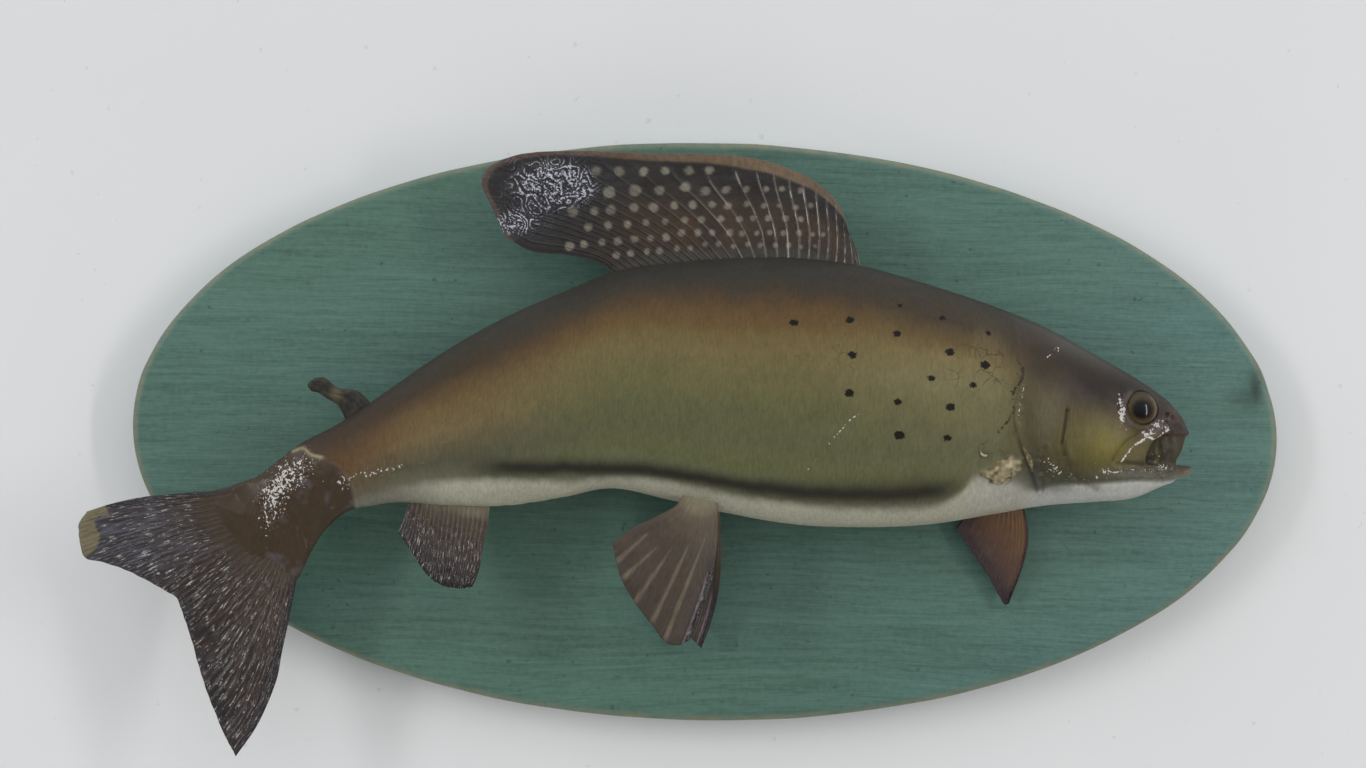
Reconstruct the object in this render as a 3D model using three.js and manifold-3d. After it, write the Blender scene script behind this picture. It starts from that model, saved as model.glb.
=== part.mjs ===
// A whole-body mount of an Arctic grayling on an oval wooden plaque.
//
// Units are millimetres. +X runs from the tail to the head, +Z is up and +Y points into the wall.
// The origin is the centre of the plaque's back face. The fish shows its right flank.

import * as THREE from 'three';
import { mergeVertices } from 'three/addons/utils/BufferGeometryUtils.js';
import Module from 'manifold-3d';

const wasm = await Module();
wasm.setup();

// ---------------------------------------------------------------- driving dimensions

const GAP = 0.3; // clearance between pieces that touch

const BOARD = {
  halfLength: 229,
  halfHeight: 115.7,
  thickness: 19,
  frontArris: 2.8,
  backArris: 0.8,
  steps: 50,
};

const STAND_OFF = 30; // from the plaque's front face to the fish's middle plane
const MID_Y = -(BOARD.thickness + STAND_OFF);
const WHOLE_DEPTH = [-110, 10]; // a range of y that goes right through the fish and the plaque
const TAIL_SWING = { from: -40, length: 200, out: 8 }; // the tail curls gently out from the wall

// Stations of the body, from the snout to the root of the tail fin. Each one is a section whose
// plane holds the back point, the belly point and the Y direction.
// Columns: back x, back z, belly x, belly z, half width, squareness.
const STATIONS = [
  [186.2, 2.6, 187.8, -12.0, 2.2, 2.0],
  [184.2, 8.0, 184.6, -14.4, 6.8, 2.1],
  [178.7, 14.8, 176.6, -17.4, 10.4, 2.2],
  [166.0, 23.6, 165.0, -22.3, 14.4, 2.3],
  [150.0, 32.6, 150.0, -24.0, 18.2, 2.35],
  [130.0, 43.2, 131.0, -25.7, 21.8, 2.3],
  [110.0, 51.0, 112.0, -29.2, 24.0, 2.25],
  [84.0, 59.2, 86.0, -33.8, 25.4, 2.2],
  [58.6, 65.8, 58.6, -35.3, 26.0, 2.15],
  [34.0, 68.4, 34.0, -34.5, 26.0, 2.15],
  [8.0, 67.8, 8.0, -30.5, 25.6, 2.15],
  [-14.0, 65.7, -14.0, -25.8, 24.6, 2.15],
  [-34.8, 62.4, -36.0, -21.8, 23.2, 2.15],
  [-56.0, 53.8, -54.0, -25.4, 21.2, 2.1],
  [-80.0, 42.6, -76.0, -29.0, 18.6, 2.1],
  [-103.0, 28.9, -99.0, -29.3, 15.6, 2.1],
  [-125.7, 12.6, -118.5, -28.4, 12.4, 2.1],
  [-142.6, 1.0, -128.8, -30.0, 10.2, 2.1],
  [-155.8, -6.2, -137.2, -31.8, 8.4, 2.1],
  [-165.4, -14.2, -145.3, -38.4, 6.8, 2.1],
  [-172.6, -19.6, -150.6, -46.4, 5.0, 2.1],
  [-181.3, -22.6, -156.2, -58.6, 3.2, 2.1],
];
const WIDEST_LINE = 0.5; // height of the widest line of a section, as a share of its depth
const RINGS_PER_STATION = 2;
const RING_POINTS = 20;

// Lines along which the body is parted, each as (x, z) points in the middle plane.
const GILL_LINE = [
  [133, 60], [126, 44], [119, 30], [116.2, 20], [115.9, 10], [118.6, -1], [122, -12], [130, -34],
];
const PELVIC_LINE = [[-12, 80], [-12, -40]];
const VENT_LINE = [[-112, 40], [-118, -45]];
const COLLAR_LINE = [[-164, 4.8], [-130, -41.5]];
const SMALLEST_PIECE = 20; // cubic millimetres: anything smaller is a chip of the parting

// The open mouth, in side view: the space between the upper lip, the near jaw bone and the lower lip.
const MOUTH = [
  [196, 2.2], [184.6, 2.0], [177, 2.6], [171.6, 0.8], [168.8, -2.6], [167.4, -8.3], [176, -9.0], [196, -10.2],
];
// The mouth skin in side view, ahead of its root inside the head.
const MOUTH_SKIN = [[184.2, 6], [183.2, -1.4], [181.7, -6], [180.8, -14], [150, -14], [150, 6]];
const MOUTH_SKIN_INSET = 2.4;
const GULLET = { x: 187, z: -3.4, radii: [15, 5.2, 4.6] };
const JAW_LINE = [[196, -10.2], [176, -9.0], [167.4, -8.3], [157, -8.6], [150.5, -12], [147, -30]];

const GILL_COVER = {
  outline: [
    [119.6, 27.5], [117.0, 18], [116.4, 10], [118.9, -1.3], [122.5, -12], [127.5, -21], [137, -22.2],
    [147.5, -20.0], [141, -14], [136.4, -6], [135.2, 0], [136.6, 11.4], [134.5, 21], [128, 28.5],
  ],
  depth: 2.2,
  raise: 0.6,
};
const JAW_BONE = {
  outline: [
    [157.4, -7.6], [160.6, -3.2], [163.6, -0.9], [168, 1.6], [172.8, 3.2], [176.4, 4.6], [176.4, 3.2],
    [171.4, 1.2], [168.4, -2.6], [167.0, -7.6],
  ],
  depth: 1.6,
  raise: 0.5,
};

const EYE = {
  x: 165.8,
  z: 11.2,
  radius: 7.2,
  depth: 4.6,
  sink: 2.6,
  halfWidth: 13.4,
  yaw: 0.16, // turn towards the snout
  pitch: 0.12, // turn upwards
};

// The torn root of the right pectoral fin, a flattened lump on the flank.
const STUMP = { x: 111.4, z: -11, out: 19.2, radii: [7.4, 4.2, 6.2], lean: 0.5 };

const SCREW_X = { front: 52, rear: -38 }; // the two screws that hold the fish on the plaque
const SCREW_Z = { front: 18, rear: 22 };
const FISH_SCREW = { shank: 2.2, head: 4.4, headHeight: 2.6, headFrom: -3.2, tip: -37, bore: 7 };
const STAND_OFF_DISC = { radius: 11, depth: 20, steps: 18 };

const HANGER = { z: 78, length: 60, height: 16, thickness: 1.5, back: -2.2, screwX: 23 };
const HANGER_POCKET = { margin: 1, depth: 4 };
const NAIL_RECESS = { halfLength: 13, halfHeight: 5.5, depth: 10 }; // room for the nail's head
const KEYHOLE = { radius: 4.2, drop: 2, slotHalfWidth: 2, slotTop: 5 };
const HANGER_SCREW = { shank: 1.4, head: 3.2, headHeight: 1.4, headFrom: -0.5, tip: -13 };
const OVERRUN = 1; // how far a cutting tool runs past the face that it cuts

const COLORS = {
  board: 0x5f9484,
  metal: 0xb9bab4,
  wood: 0xb08a5a,
  flank: 0x8a7f4c,
  head: 0x857a4a,
  tail: 0x54382c,
  fin: 0x4a3326,
  mouth: 0x4d4a2e,
  eye: 0x241a12,
  stump: 0xcbb389,
};

// ---------------------------------------------------------------- geometry helpers

/** Y of the fish's middle plane at x: the trunk is straight and the tail curls outwards. */
function midY(x) {
  const t = Math.max(0, (TAIL_SWING.from - x) / TAIL_SWING.length);
  return MID_Y - TAIL_SWING.out * t * t;
}

/** A point of the middle plane. */
function onMid([x, z], out = 0) {
  return new THREE.Vector3(x, midY(x) - out, z);
}

/** Signed volume of an indexed triangle list, positive when its faces point out. */
function signedVolume(points, index) {
  let volume = 0;
  for (let i = 0; i < index.length; i += 3) {
    const [a, b, c] = [points[index[i]], points[index[i + 1]], points[index[i + 2]]];
    volume += a.dot(new THREE.Vector3().crossVectors(b, c)) / 6;
  }
  return volume;
}

/** A geometry from points and triangles, turned so that its faces point out. */
function closedGeometry(points, index) {
  if (signedVolume(points, index) < 0) index.reverse();
  const geometry = new THREE.BufferGeometry().setFromPoints(points);
  geometry.setIndex(index);
  return geometry;
}

/** Skins a row of rings that have the same number of points, and closes both ends. */
function loft(rings) {
  const count = rings[0].length;
  const points = rings.flat();
  const index = [];
  for (let r = 0; r + 1 < rings.length; r++) {
    for (let i = 0; i < count; i++) {
      const a = r * count + i;
      const b = r * count + ((i + 1) % count);
      index.push(a, b, a + count, b, b + count, a + count);
    }
  }
  const cap = (ring, offset, flip) => {
    const centre = ring.reduce((sum, p) => sum.add(p), new THREE.Vector3()).divideScalar(count);
    points.push(centre);
    for (let i = 0; i < count; i++) {
      const [a, b] = [offset + i, offset + ((i + 1) % count)];
      index.push(points.length - 1, flip ? a : b, flip ? b : a);
    }
  };
  cap(rings[0], 0, false);
  cap(rings[rings.length - 1], (rings.length - 1) * count, true);
  return closedGeometry(points, index);
}

/** The solid of a closed geometry. */
function toSolid(geometry) {
  const bare = geometry.clone();
  bare.deleteAttribute('normal');
  bare.deleteAttribute('uv');
  const merged = mergeVertices(bare, 1e-4);
  return new wasm.Manifold(new wasm.Mesh({
    numProp: 3,
    vertProperties: new Float32Array(merged.attributes.position.array),
    triVerts: new Uint32Array(merged.index.array),
  }));
}

/** The geometry of a solid. */
function toGeometry(solid) {
  const mesh = solid.getMesh();
  const geometry = new THREE.BufferGeometry();
  geometry.setAttribute('position', new THREE.BufferAttribute(new Float32Array(mesh.vertProperties), 3));
  geometry.setIndex(new THREE.BufferAttribute(new Uint32Array(mesh.triVerts), 1));
  return geometry;
}

/** A prism over an (x, z) outline, between two values of y. */
function prism(outline, [yFront, yBack] = WHOLE_DEPTH) {
  const shape = new THREE.Shape(outline.map(([x, z]) => new THREE.Vector2(x, z)));
  const geometry = new THREE.ExtrudeGeometry(shape, { depth: yBack - yFront, bevelEnabled: false });
  geometry.rotateX(Math.PI / 2);
  geometry.translate(0, yBack, 0);
  return toSolid(geometry);
}

/** Moves each point of an open (x, z) line sideways by a distance. */
function shiftLine(line, distance) {
  return line.map(([x, z], i) => {
    const before = line[Math.max(i - 1, 0)];
    const after = line[Math.min(i + 1, line.length - 1)];
    const along = new THREE.Vector2(after[0] - before[0], after[1] - before[1]).normalize();
    return [x - along.y * distance, z + along.x * distance];
  });
}

/** Grows a closed (x, z) outline outwards by a distance. */
function growOutline(outline, distance) {
  const turn = THREE.ShapeUtils.area(outline.map(([x, z]) => new THREE.Vector2(x, z))) > 0 ? -1 : 1;
  return outline.map(([x, z], i) => {
    const before = outline[(i + outline.length - 1) % outline.length];
    const after = outline[(i + 1) % outline.length];
    const along = new THREE.Vector2(after[0] - before[0], after[1] - before[1]).normalize();
    return [x - along.y * distance * turn, z + along.x * distance * turn];
  });
}

/** A thin saw cut along an (x, z) line, right through the fish. */
function kerf(line) {
  return prism([...shiftLine(line, GAP / 2), ...shiftLine(line, -GAP / 2).reverse()]);
}

/** A smooth curve through points (x, z, out), where out is how far a point lies from the middle plane. */
function finCurve(points) {
  return new THREE.CatmullRomCurve3(points.map(([x, z, out = 0]) => onMid([x, z], out)));
}

/** A round bar along Y, from one y to another. */
function bar(radius, yFrom, yTo, x, z, steps = 12) {
  const geometry = new THREE.CylinderGeometry(radius, radius, Math.abs(yTo - yFrom), steps);
  geometry.translate(x, (yFrom + yTo) / 2, z);
  return toSolid(geometry);
}

// ---------------------------------------------------------------- the body

const backCurve = new THREE.CatmullRomCurve3(STATIONS.map((s) => new THREE.Vector3(s[0], 0, s[1])));
const bellyCurve = new THREE.CatmullRomCurve3(STATIONS.map((s) => new THREE.Vector3(s[2], 0, s[3])));
const girthCurve = new THREE.CatmullRomCurve3(STATIONS.map((s, i) => new THREE.Vector3(i * 20, s[4], s[5])));

/** One section of the body at a share t of its length, shrunk inwards by inset. */
function bodyRing(t, inset) {
  const back = backCurve.getPoint(t);
  const belly = bellyCurve.getPoint(t);
  const girth = girthCurve.getPoint(t);
  const rise = new THREE.Vector3().subVectors(back, belly);
  const depth = rise.length();
  rise.normalize();
  const centre = new THREE.Vector3().addVectors(belly, rise.clone().multiplyScalar(depth * WIDEST_LINE));
  const power = 2 / girth.z;
  const halfWidth = Math.max(girth.y - inset, 0.2);
  const ring = [];
  for (let i = 0; i < RING_POINTS; i++) {
    const angle = (i / RING_POINTS) * Math.PI * 2;
    const [c, s] = [Math.cos(angle), Math.sin(angle)];
    const halfDepth = depth * (s > 0 ? 1 - WIDEST_LINE : WIDEST_LINE) - inset;
    const up = halfDepth * Math.sign(s) * Math.abs(s) ** power;
    const point = centre.clone().addScaledVector(rise, up);
    point.y = midY(point.x) + halfWidth * Math.sign(c) * Math.abs(c) ** power;
    ring.push(point);
  }
  return ring;
}

/** The whole body as one solid, its surface moved in by inset, or out where inset is negative. */
function bodySolid(inset) {
  const rings = [];
  const last = (STATIONS.length - 1) * RINGS_PER_STATION;
  for (let i = 0; i <= last; i++) rings.push(bodyRing(i / last, inset));
  return toSolid(loft(rings));
}

const body = bodySolid(0);
const bodyClear = bodySolid(-GAP);

/** The right side's range of y where side is 1, and the left side's where it is -1. */
function sideRange(side) {
  const [front, back] = WHOLE_DEPTH;
  return side > 0 ? [front, MID_Y - 1] : [MID_Y + 1, back];
}

/** A thin bony plate of the head's surface, and the pocket that it lies in. */
function surfacePlate({ outline, depth, raise }, side) {
  const range = sideRange(side);
  const plate = bodySolid(-raise).intersect(prism(outline, range)).subtract(bodySolid(depth));
  const pocket = prism(growOutline(outline, GAP), range).subtract(bodySolid(depth + GAP));
  return { plate, pocket };
}

/** A glass eye, or its socket where grow is above zero. */
function eyeSolid(side, grow) {
  const geometry = new THREE.SphereGeometry(1, 14, 7);
  geometry.rotateX(Math.PI / 2);
  geometry.scale(EYE.radius + grow, EYE.depth + grow, EYE.radius + grow);
  geometry.rotateX(-side * EYE.pitch);
  geometry.rotateZ(side * EYE.yaw);
  geometry.translate(EYE.x, midY(EYE.x) - side * (EYE.halfWidth - EYE.sink), EYE.z);
  return toSolid(geometry);
}

/** Parts the body along its lines into named solids. */
function partBody() {
  const plates = {};
  let flesh = body;
  for (const line of [GILL_LINE, PELVIC_LINE, VENT_LINE, COLLAR_LINE, JAW_LINE]) {
    flesh = flesh.subtract(kerf(line));
  }
  const mouth = prism(MOUTH);
  flesh = flesh.subtract(mouth);
  for (const [name, side] of [['right', 1], ['left', -1]]) {
    const cover = surfacePlate(GILL_COVER, side);
    const bone = surfacePlate(JAW_BONE, side);
    flesh = flesh.subtract(cover.pocket).subtract(bone.pocket).subtract(eyeSolid(side, GAP));
    plates[`gill_cover_${name}`] = cover.plate.subtract(kerf(GILL_LINE));
    plates[`jaw_bone_${name}`] = bone.plate.subtract(mouth).subtract(kerf(JAW_LINE));
    plates[`eye_${name}`] = eyeSolid(side, 0);
  }
  for (const end of ['front', 'rear']) {
    const bore = bar(FISH_SCREW.shank + GAP, 0, FISH_SCREW.tip - OVERRUN, SCREW_X[end], SCREW_Z[end]);
    flesh = flesh.subtract(bore);
  }
  const pieces = flesh.decompose().filter((piece) => piece.volume() > SMALLEST_PIECE);
  const middle = (piece) => {
    const box = piece.boundingBox();
    return { x: (box.min[0] + box.max[0]) / 2, z: (box.min[2] + box.max[2]) / 2 };
  };
  pieces.sort((a, b) => middle(b).x - middle(a).x);
  const [lowerJaw, head, trunkFront, trunkRear, tailStem, tailRoot] = pieces;
  return {
    lower_jaw: lowerJaw,
    head,
    trunk_front: trunkFront,
    trunk_rear: trunkRear,
    tail_stem: tailStem,
    tail_root: tailRoot,
    ...plates,
  };
}

/** The folded skin inside the open mouth, hollowed by the gullet. */
function mouthSkin() {
  const space = prism(growOutline(MOUTH, -GAP)).intersect(prism(MOUTH_SKIN));
  const gullet = new THREE.SphereGeometry(1, 10, 7);
  gullet.scale(...GULLET.radii);
  gullet.translate(GULLET.x, midY(GULLET.x), GULLET.z);
  return bodySolid(MOUTH_SKIN_INSET).intersect(space).subtract(toSolid(gullet));
}

// ---------------------------------------------------------------- the fins

const RAY_RIDGE = 1.25; // thickness of a fin along a ray, as a share of the web's

/**
 * A fin stretched between four curves: its root and its outer edge, which both run from front to rear, and
 * its front and rear edges, which both run from the root outwards. The rays stand proud as low ridges.
 */
function finSolid({ root, edge, front, rear, rays, rootThickness, edgeThickness, swell = 0, rows = 3 }) {
  const [r, e, f, b] = [root, edge, front, rear].map(finCurve);
  const columns = rays * 2;
  const points = [];
  for (const face of [1, -1]) {
    for (let i = 0; i <= columns; i++) {
      const u = i / columns;
      for (let j = 0; j <= rows; j++) {
        const v = j / rows;
        const point = r.getPoint(u).multiplyScalar(1 - v);
        point.addScaledVector(e.getPoint(u), v);
        point.addScaledVector(f.getPoint(v), 1 - u);
        point.addScaledVector(b.getPoint(v), u);
        point.addScaledVector(r.getPoint(0), -(1 - u) * (1 - v));
        point.addScaledVector(r.getPoint(1), -u * (1 - v));
        point.addScaledVector(e.getPoint(0), -(1 - u) * v);
        point.addScaledVector(e.getPoint(1), -u * v);
        const ridge = i % 2 === 1 ? RAY_RIDGE : 1;
        const thickness = THREE.MathUtils.lerp(rootThickness, edgeThickness, v) * ridge;
        point.y += face * (thickness + swell * Math.sin(Math.PI * u) * (1 - v) ** 2) / 2;
        points.push(point);
      }
    }
  }
  const at = (face, i, j) => (face * (columns + 1) + i) * (rows + 1) + j;
  const index = [];
  const quad = (one, two, three, four) => index.push(one, two, three, one, three, four);
  for (let i = 0; i < columns; i++) {
    for (let j = 0; j < rows; j++) {
      quad(at(0, i, j), at(0, i + 1, j), at(0, i + 1, j + 1), at(0, i, j + 1));
      quad(at(1, i, j), at(1, i, j + 1), at(1, i + 1, j + 1), at(1, i + 1, j));
    }
    quad(at(0, i, 0), at(1, i, 0), at(1, i + 1, 0), at(0, i + 1, 0));
    quad(at(0, i, rows), at(0, i + 1, rows), at(1, i + 1, rows), at(1, i, rows));
  }
  for (let j = 0; j < rows; j++) {
    quad(at(0, 0, j), at(0, 0, j + 1), at(1, 0, j + 1), at(1, 0, j));
    quad(at(0, columns, j), at(1, columns, j), at(1, columns, j + 1), at(0, columns, j + 1));
  }
  return toSolid(closedGeometry(points, index));
}

const DORSAL = {
  root: [[59.3, 63.5], [36, 66.4], [8, 65.8], [-14, 63.6], [-34.5, 60.2]],
  front: [[59.3, 63.5], [57, 72], [53.8, 78.7, 0.5]],
  edge: [
    [53.8, 78.7, 0.5], [50.2, 89.2, 1], [41.1, 97.8, 1.5], [27.5, 103.9, 2], [10, 107.2, 2.5],
    [-24, 107.7, 2.5], [-55, 108.1, 2], [-76, 106.0, 1], [-86.2, 100.6], [-88.2, 95.6], [-84.6, 87.4],
    [-78.6, 74.7],
  ],
  rear: [[-34.5, 60.2], [-42, 65.4], [-54.6, 68.1], [-68, 69.2], [-78.6, 74.7]],
  rays: 17,
  rows: 2,
  rootThickness: 3,
  edgeThickness: 1,
};

const ADIPOSE = {
  root: [[-129, 9.5], [-138.4, 3]],
  front: [[-129, 9.5], [-134, 14.2], [-142, 15.6], [-147.4, 19.4], [-151.2, 19]],
  edge: [[-151.2, 19], [-153.5, 16.4], [-152.0, 14.0]],
  rear: [[-138.4, 3], [-142, 9], [-146.2, 11.4], [-149.4, 13.4], [-152.0, 14.0]],
  rays: 3,
  rootThickness: 2.4,
  edgeThickness: 2.2,
};

const ANAL = {
  root: [[-82.4, -26.5], [-99, -26.8], [-116.4, -26]],
  front: [[-82.4, -26.5], [-83.4, -36], [-84.9, -43.5], [-86.3, -53], [-88.9, -60.8]],
  edge: [[-88.9, -60.8], [-94, -61.6], [-99.6, -61], [-105.6, -57.6], [-111.4, -49.8], [-118, -40]],
  rear: [[-116.4, -26], [-116.7, -34], [-118, -40]],
  rays: 10,
  rootThickness: 2.2,
  edgeThickness: 0.9,
};

// The paired fins are rooted in the flanks, and their tips spread away from the middle plane.
const PELVIC_RIGHT = {
  root: [[4.6, -21.5, 10.5], [-0.4, -20, 11.5], [-5.6, -20.5, 11]],
  front: [[4.6, -21.5, 10.5], [5.2, -31, 13], [4.8, -43, 14], [2.6, -57, 15], [-5.2, -78.2, 16]],
  edge: [
    [-5.2, -78.2, 16], [-9, -80.2, 16.6], [-13.4, -79.6, 17], [-20, -71.9, 17.5], [-31, -56.4, 18],
    [-35.2, -41.8, 17.5],
  ],
  rear: [[-5.6, -20.5, 11], [-11.3, -27.4, 13.5], [-19, -31.7, 15], [-28, -36.3, 17], [-35.2, -41.8, 17.5]],
  rays: 10,
  rootThickness: 2.2,
  edgeThickness: 0.9,
};

const PELVIC_LEFT = {
  root: [[5.6, -21.5, -10.5], [1, -20, -11.5], [-4.6, -20.5, -11]],
  front: [[5.6, -21.5, -10.5], [6.6, -36, -13], [7, -55, -15], [4.6, -70.7, -16.5], [-0.2, -85.2, -17]],
  edge: [[-0.2, -85.2, -17], [-3.8, -82, -17.6], [-9, -76, -18], [-15, -66, -18.5], [-18.6, -54, -18]],
  rear: [[-4.6, -20.5, -11], [-9.6, -28, -14], [-14, -39, -16.6], [-18.6, -54, -18]],
  rays: 10,
  rootThickness: 2.2,
  edgeThickness: 0.9,
};

const PECTORAL_LEFT = {
  root: [[120.4, -16, -17], [117, -13, -18], [113.4, -10.5, -19]],
  front: [[120.4, -16, -17], [126.4, -28, -20], [128.6, -39.6, -22], [127, -50, -23], [121.6, -66.2, -24]],
  edge: [
    [121.6, -66.2, -24], [120.2, -66.8, -24], [118, -64, -24], [113.6, -56, -24], [109.4, -50, -23.6],
    [99.8, -36.6, -22.6],
  ],
  rear: [[113.4, -10.5, -19], [110.6, -19, -20.6], [105.6, -28, -22], [99.8, -36.6, -22.6]],
  rays: 9,
  rootThickness: 2.4,
  edgeThickness: 0.9,
};

// The tail fin is parted into its two lobes along the line from its root to the fork.
const TAIL_AXIS = new THREE.Vector2(-0.78, -0.62); // from the root towards the fork
const TAIL_SPLIT = { root: [-168.8, -40.7], fork: [-201.8, -66.3] };
const TAIL_ROOT_SWELL = 4;

/** A point of the split line, moved to one side of it by half the clearance. */
function splitPoint([x, z], side) {
  return [x + TAIL_AXIS.y * side * GAP / 2, z - TAIL_AXIS.x * side * GAP / 2];
}

/** A root point moved off the body by the clearance. */
function offBody([x, z]) {
  return [x + TAIL_AXIS.x * GAP, z + TAIL_AXIS.y * GAP];
}

const [upperSplitRoot, lowerSplitRoot] = [-1, 1].map((side) => splitPoint(offBody(TAIL_SPLIT.root), -side));
const [upperFork, lowerFork] = [-1, 1].map((side) => splitPoint(TAIL_SPLIT.fork, -side));
const upperLead = offBody([-181.3, -22.8]);
const lowerLead = offBody([-156.4, -58.4]);

const TAIL_UPPER = {
  root: [upperLead, upperSplitRoot],
  front: [upperLead, [-188.2, -24.6], [-205.8, -26.4], [-214.6, -27.4], [-226.9, -30.2], [-236.4, -33.4]],
  edge: [
    [-236.4, -33.4], [-239.3, -38], [-239, -45], [-237.1, -51], [-230, -52.9], [-220.5, -56.2],
    [-209.8, -61.5], upperFork,
  ],
  rear: [upperSplitRoot, upperFork],
  rays: 10,
  rootThickness: 2.6,
  edgeThickness: 1,
  swell: TAIL_ROOT_SWELL,
};

const TAIL_LOWER = {
  root: [lowerSplitRoot, lowerLead],
  front: [lowerSplitRoot, lowerFork],
  edge: [lowerFork, [-197.1, -79.1], [-191.2, -98.6], [-183.4, -117.6], [-178.6, -126.8]],
  rear: [lowerLead, [-159.3, -74.4], [-161.8, -87.5], [-163.4, -96.9], [-170.6, -114.8], [-178.6, -126.8]],
  rays: 10,
  rootThickness: 2.6,
  edgeThickness: 1,
  swell: TAIL_ROOT_SWELL,
};

/** The torn stump of the right pectoral fin. */
function pectoralStump() {
  const geometry = new THREE.SphereGeometry(1, 12, 7);
  geometry.scale(...STUMP.radii);
  geometry.rotateY(STUMP.lean);
  geometry.translate(STUMP.x, MID_Y - STUMP.out, STUMP.z);
  return toSolid(geometry).subtract(bodyClear);
}

// ---------------------------------------------------------------- the plaque and its fixings

/** One level outline of the plaque, drawn in by inset. */
function boardRing(inset, y) {
  const ellipse = new THREE.EllipseCurve(0, 0, BOARD.halfLength - inset, BOARD.halfHeight - inset);
  return ellipse.getPoints(BOARD.steps).slice(1).map((p) => new THREE.Vector3(p.x, y, p.y));
}

/** The oval plaque, with its softened front edge, the hanger's pocket and the screw holes. */
function boardSolid() {
  const { thickness, frontArris, backArris } = BOARD;
  const rings = [boardRing(backArris, 0), boardRing(0, -backArris), boardRing(0, frontArris - thickness)];
  for (const angle of [Math.PI / 4, Math.PI / 2]) {
    const [inset, forward] = [frontArris * (1 - Math.cos(angle)), frontArris * (1 - Math.sin(angle))];
    rings.push(boardRing(inset, forward - thickness));
  }
  let solid = toSolid(loft(rings));
  const boreBottom = FISH_SCREW.headFrom - FISH_SCREW.headHeight - GAP;
  for (const end of ['front', 'rear']) {
    const [x, z] = [SCREW_X[end], SCREW_Z[end]];
    solid = solid.subtract(bar(FISH_SCREW.shank + GAP, OVERRUN, -thickness - OVERRUN, x, z));
    solid = solid.subtract(bar(FISH_SCREW.bore, OVERRUN, boreBottom, x, z, 18));
  }
  const { margin, depth } = HANGER_POCKET;
  const pocket = slot(HANGER.length / 2 + margin, HANGER.height / 2 + margin, [-depth, OVERRUN]);
  const recess = slot(NAIL_RECESS.halfLength, NAIL_RECESS.halfHeight, [-NAIL_RECESS.depth, OVERRUN]);
  solid = solid.subtract(pocket).subtract(recess);
  for (const side of [-1, 1]) solid = solid.subtract(hangerScrewHole(side, HANGER_SCREW.tip - OVERRUN));
  return solid;
}

/** The hole of one hanger screw, from behind the plaque to a value of y. */
function hangerScrewHole(side, yFront) {
  return bar(HANGER_SCREW.shank + GAP, OVERRUN, yFront, side * HANGER.screwX, HANGER.z, 10);
}

/** A round-ended slot in the back of the plaque, at the hanger. */
function slot(halfLength, halfHeight, range) {
  const outline = [];
  const steps = 6;
  for (const end of [1, -1]) {
    for (let i = 0; i <= steps; i++) {
      const angle = (i / steps - end / 2) * Math.PI;
      const x = end * (halfLength - halfHeight) + halfHeight * Math.cos(angle);
      outline.push([x, HANGER.z + halfHeight * Math.sin(angle)]);
    }
  }
  return prism(outline, range);
}

/** The steel hanger plate with its keyhole and two screw holes. */
function hangerPlate() {
  const [front, back] = [HANGER.back - HANGER.thickness, HANGER.back];
  const [foot, top] = [HANGER.z - KEYHOLE.drop, HANGER.z + KEYHOLE.slotTop];
  const half = KEYHOLE.slotHalfWidth;
  const keySlot = prism([[-half, foot], [half, foot], [half, top], [-half, top]], [front - OVERRUN, OVERRUN]);
  let plate = slot(HANGER.length / 2, HANGER.height / 2, [front, back]).subtract(keySlot);
  plate = plate.subtract(bar(KEYHOLE.radius, OVERRUN, front - OVERRUN, 0, foot));
  for (const side of [-1, 1]) plate = plate.subtract(hangerScrewHole(side, front - OVERRUN));
  return plate;
}

/** A flat-headed screw along Y, as a turned profile. */
function screwSolid({ shank, head, headHeight, headFrom, tip }, x, z) {
  const top = headFrom;
  const under = headFrom - headHeight;
  const pointEnd = tip + 3 * shank;
  const profile = [[0, tip], [shank, pointEnd], [shank, under], [head, under], [head, top], [0, top]];
  const geometry = new THREE.LatheGeometry(profile.map(([r, y]) => new THREE.Vector2(r, y)), 12);
  geometry.translate(x, 0, z);
  return toSolid(geometry);
}

/** The wooden disc between the plaque and the fish, shaped to the fish's flank. */
function standOffDisc(end) {
  const [x, z] = [SCREW_X[end], SCREW_Z[end]];
  const face = -BOARD.thickness - GAP;
  const disc = bar(STAND_OFF_DISC.radius, face, face - STAND_OFF_DISC.depth, x, z, STAND_OFF_DISC.steps);
  return disc.subtract(bodyClear).subtract(bar(FISH_SCREW.shank + GAP, 0, MID_Y, x, z));
}

// ---------------------------------------------------------------- assembly

const group = new THREE.Group();
group.name = 'mounted_grayling';

/** Adds a solid to the model as a named mesh. */
function addNode(name, solid, color, roughness = 0.35, metalness = 0) {
  const material = new THREE.MeshStandardMaterial({ color, roughness, metalness });
  const mesh = new THREE.Mesh(toGeometry(solid), material);
  mesh.name = name;
  group.add(mesh);
}

addNode('board', boardSolid(), COLORS.board, 0.6);
addNode('hanger_plate', hangerPlate(), COLORS.metal, 0.4, 1);
for (const [name, side] of [['left', -1], ['right', 1]]) {
  const screw = screwSolid(HANGER_SCREW, side * HANGER.screwX, HANGER.z);
  addNode(`hanger_screw_${name}`, screw, COLORS.metal, 0.4, 1);
}
for (const end of ['front', 'rear']) {
  addNode(`fish_screw_${end}`, screwSolid(FISH_SCREW, SCREW_X[end], SCREW_Z[end]), COLORS.metal, 0.4, 1);
  addNode(`stand_off_${end}`, standOffDisc(end), COLORS.wood, 0.7);
}

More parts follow.
